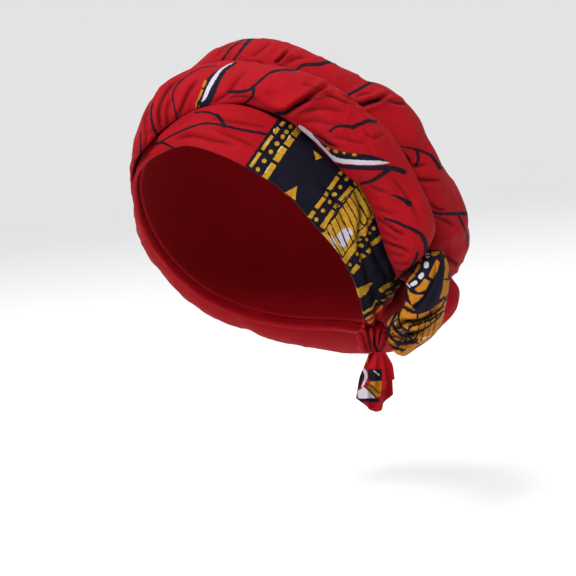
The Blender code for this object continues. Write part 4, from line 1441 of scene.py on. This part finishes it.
def add_puff(material):
    """The pouch-shaped bow behind the ear, with folds that run in to the knot."""
    along, side = np.meshgrid(np.linspace(0.0, 1.0, 130), stepped(PUFF_SIDES), indexing="ij")
    place = along * puff_end()
    width = PUFF_WIDTH * read_along(PUFF, "width", place)
    thick = PUFF_THICKNESS * read_along(PUFF, "thick", place)
    ends = np.sqrt(1.0 - (1.0 - toward_ends(along, 1.0 / 0.05)) ** 2)
    ahead = puff_heading(place)
    outward = head_points(read_along(PUFF, "ring", place), read_along(PUFF, "fall", place), 0.0)[1]
    sideways = unit(np.cross(ahead, outward))
    outward = unit(np.cross(sideways, ahead))
    angle = np.radians(side)
    spoke = (sideways * (width / 2 * ends * np.cos(angle))[..., None]
             + outward * (thick / 2 * ends * np.sin(angle))[..., None])
    points = puff_centre(place) + spoke
    normals = unit(spoke + 1e-9 * outward)
    pixels = photo_pixels(points)
    raised = (fold_height(pixels, PUFF_FOLDS) * frontal(normals)).reshape(side.shape)
    gather = PUFF_GATHER_HEIGHT * np.cos(angle * PUFF_GATHERS) * np.clip((along - 0.55) / 0.45, 0.0, 1.0)
    swell = PUFF_SWELL * soft_noise(side / 30.0, along * 5.0, 12, wrap=12)
    points = points + normals * ((raised + gather + swell) * ends)[..., None]
    beside = (pixels - np.array(PUFF_LOBE)) / np.array(PUFF_LOBE_REACH)
    droop = PUFF_LOBE_DROOP * np.exp(-(beside ** 2).sum(axis=-1)).reshape(side.shape)
    points = points - np.array(photo_axes()[2]) * droop[..., None]
    fields = print_fields(points, normals, gold=PUFF_GOLD_SHAPES, gold_strokes=PUFF_GOLD,
                          white_strokes=PUFF_WHITE, veins=PUFF_LINES, folds=PUFF_FOLDS)
    flat = np.stack((along * PUFF_LENGTH_MM, angle * PUFF_RADIUS_MM), axis=-1)
    piece = add_cloth("puff_cloth", "bow_puff", material, points,
                      tube_faces(*side.shape), flat, fields)


def add_knot(material):
    """The pinched knot, gathered across."""
    along, side = np.meshgrid(np.linspace(0.01, 0.99, 90), stepped(KNOT_SIDES), indexing="ij")
    angle = np.radians(side)
    offsets = knot_offsets(along, side)
    normals = grid_normals(knot_centre() + offsets, True, False)
    pixels = photo_pixels(knot_centre() + offsets)
    shown = frontal(normals)
    wrinkle = KNOT_WRINKLE_HEIGHT * np.cos(angle * KNOT_WRINKLES + 3.0 * along) * np.sin(np.pi * along) ** 2
    raised = wrinkle * (1.0 - shown.reshape(side.shape))
    raised = raised + (fold_height(pixels, KNOT_FOLDS) * shown).reshape(side.shape)
    points = knot_centre() + offsets + unit(offsets) * raised[..., None]
    flat = np.stack((along * KNOT_LENGTH_MM, angle * KNOT_RADIUS_MM), axis=-1)
    fields = plain_fields(side.size)
    # Painted shade along the knot's folds, on the sides that face the camera
    fields["fold"] = 1.0 - (1.0 - fold_shade(pixels, KNOT_FOLDS)) * shown
    fields["vein"] = stroke_field(flat.reshape(-1, 2), KNOT_VEINS)
    faces = [face[::-1] for face in tube_faces(*side.shape)]
    piece = add_cloth("knot_cloth", "tie_knot", material, points, faces, flat, fields)


def add_tail(name, node, length, width, shift, seed, material):
    """A hanging end: a short flap of cloth with a soft ripple."""
    across = np.linspace(-1.0, 1.0, 44)
    both = np.concatenate((across, across[::-1]))
    along, both = np.meshgrid(np.linspace(0.0, 1.0, 60), both, indexing="ij")
    face = np.broadcast_to(np.repeat((1.0, -1.0), len(across)), along.shape)
    away = np.array(direction(KNOT_RING - TAIL_TURN, 0.0))
    sideways = np.array(direction(KNOT_RING - TAIL_TURN + 90.0, 0.0))
    down = np.array((0.0, 0.0, -1.0))
    reach_down = knot_reach(down)
    inner = max(shift - TAIL_WALL, 0.0)
    underside = reach_down * math.sqrt(1 - min(inner / reach_down, 1.0) ** 2)
    top = knot_centre() + away * shift + down * underside
    reach = length * along * (1 - TAIL_CORNER_RISE * np.abs(both) ** 1.5)
    ripple = TAIL_RIPPLE * np.sin(2.4 * np.pi * both) * along
    ripple = ripple + TAIL_SWELL * soft_noise(both * 3.0 + 8.0, along * 3.0, seed) * along
    stand = length * read_along(TAIL, "away", along) + ripple + face * TAIL_HALF_WALL
    spread = width / 2 * read_along(TAIL, "spread", along) * both
    points = top + (down * reach[..., None] + away * stand[..., None] + sideways * spread[..., None])
    fields = print_fields(points, np.broadcast_to(away, points.shape), navy=TAIL_NAVY, gold=TAIL_GOLD_SHAPES,
                          white=TAIL_WHITE_SHAPES, white_strokes=TAIL_WHITE, veins=TAIL_LINES)
    flat = np.stack((both * width / 2 * MM, along * length * MM), axis=-1)
    piece = add_cloth(name, node, material, points, tube_faces(*along.shape), flat, fields)


def add_stage():
    """A pale round floor that curves up at its far edge."""
    floor = cad_box[0][2] - FLOOR_DROP
    profile = [(0.0, 0.0), (FLOOR_RADIUS - FLOOR_BEND, 0.0)]
    for k in range(1, FLOOR_BENDS + 1):
        angle = math.radians(90.0 * k / FLOOR_BENDS)
        profile.append((FLOOR_RADIUS - FLOOR_BEND + FLOOR_BEND * math.sin(angle),
                        FLOOR_BEND * (1 - math.cos(angle))))
    profile.append((FLOOR_RADIUS, FLOOR_WALL))
    points = []
    for reach, height in profile:
        for k in range(FLOOR_TURNS):
            angle = 2 * math.pi * k / FLOOR_TURNS
            points.append((reach * math.cos(angle), reach * math.sin(angle), floor + height))
    mesh = bpy.data.meshes.new("studio_floor")
    mesh.from_pydata(points, [], grid_faces(len(profile), FLOOR_TURNS, wrap_lines=False))
    mesh.shade_smooth()
    material, tree, shader = new_material("pale_paper")
    shader.inputs["Base Color"].default_value = FLOOR_GREY
    shader.inputs["Roughness"].default_value = 0.9
    mesh.materials.append(material)
    item = bpy.data.objects.new("studio_floor", mesh)
    bpy.context.scene.collection.objects.link(item)


def add_lights():
    """Soft square lights turned to the wrap, and an even white sky."""
    for light in LIGHTS:
        away = direction(light.azimuth, light.elevation)
        data = bpy.data.lights.new(light.name, "AREA")
        data.shape = "SQUARE"
        data.size = light.size
        data.energy = light.power
        item = bpy.data.objects.new(light.name, data)
        item.location = TARGET + away * light.distance
        item.rotation_euler = away.to_track_quat("Z", "Y").to_euler()
        bpy.context.scene.collection.objects.link(item)
    world = bpy.data.worlds.new("studio")
    world.use_nodes = True
    sky = world.node_tree.nodes["Background"]
    sky.inputs["Color"].default_value = (1.0, 1.0, 1.0, 1.0)
    sky.inputs["Strength"].default_value = WORLD_STRENGTH
    bpy.context.scene.world = world
    bpy.context.scene.view_settings.view_transform = "Standard"


def add_camera():
    """The photograph's camera."""
    back, right, up = photo_axes()
    data = bpy.data.cameras.new("camera")
    data.sensor_width = SENSOR
    data.lens = SENSOR * CAMERA_DISTANCE / (FRAME_PIXELS * METRES_PER_PIXEL)
    data.shift_x = (FRAME_PIXELS / 2 - TARGET_PIXEL[0]) / FRAME_PIXELS
    data.shift_y = (TARGET_PIXEL[1] - FRAME_PIXELS / 2) / FRAME_PIXELS
    item = bpy.data.objects.new("camera", data)
    place = TARGET + back * CAMERA_DISTANCE
    item.matrix_world = Matrix((
        (right.x, up.x, back.x, place.x),
        (right.y, up.y, back.y, place.y),
        (right.z, up.z, back.z, place.z),
        (0.0, 0.0, 0.0, 1.0),
    ))
    bpy.context.scene.collection.objects.link(item)
    bpy.context.scene.camera = item


def dress():
    """Every piece of cloth in its material."""
    red = wax_cotton("red_wax_print", RED)
    band = wax_cotton("band_wax_print", RED, gold=BAND_GOLD_DYE, tints=True)
    border = wax_cotton("border_wax_print", NAVY)
    lining = wax_cotton("cap_cotton", RED, roughness=LINING_ROUGHNESS, fade=LINING_FADE)
    front_prints = dict(navy=FRONT_NAVY, white=FRONT_WHITE, gold_strokes=FRONT_GOLD, veins=FRONT_VEINS)
    add_roll("front_roll_cloth", "front_roll", front_roll_points, FRONT_ROLL_THICKNESS, FRONT_FOLDS,
             front_prints, seed=21, material=red)
    add_roll("rear_roll_cloth", "rear_roll", rear_roll_points, REAR_ROLL_THICKNESS, REAR_FOLDS,
             dict(veins=REAR_VEINS), seed=22, material=red)
    add_band(band)
    add_cap(lining)
    add_puff(border)
    add_knot(red)
    add_tail("long_tail_cloth", "tie_tail_long", LONG_TAIL_LENGTH, LONG_TAIL_WIDTH,
             shift=0.0, seed=41, material=red)
    add_tail("short_tail_cloth", "tie_tail_short", SHORT_TAIL_LENGTH, SHORT_TAIL_WIDTH,
             shift=TAILS_APART, seed=42, material=red)


dress()
add_stage()
add_lights()
add_camera()
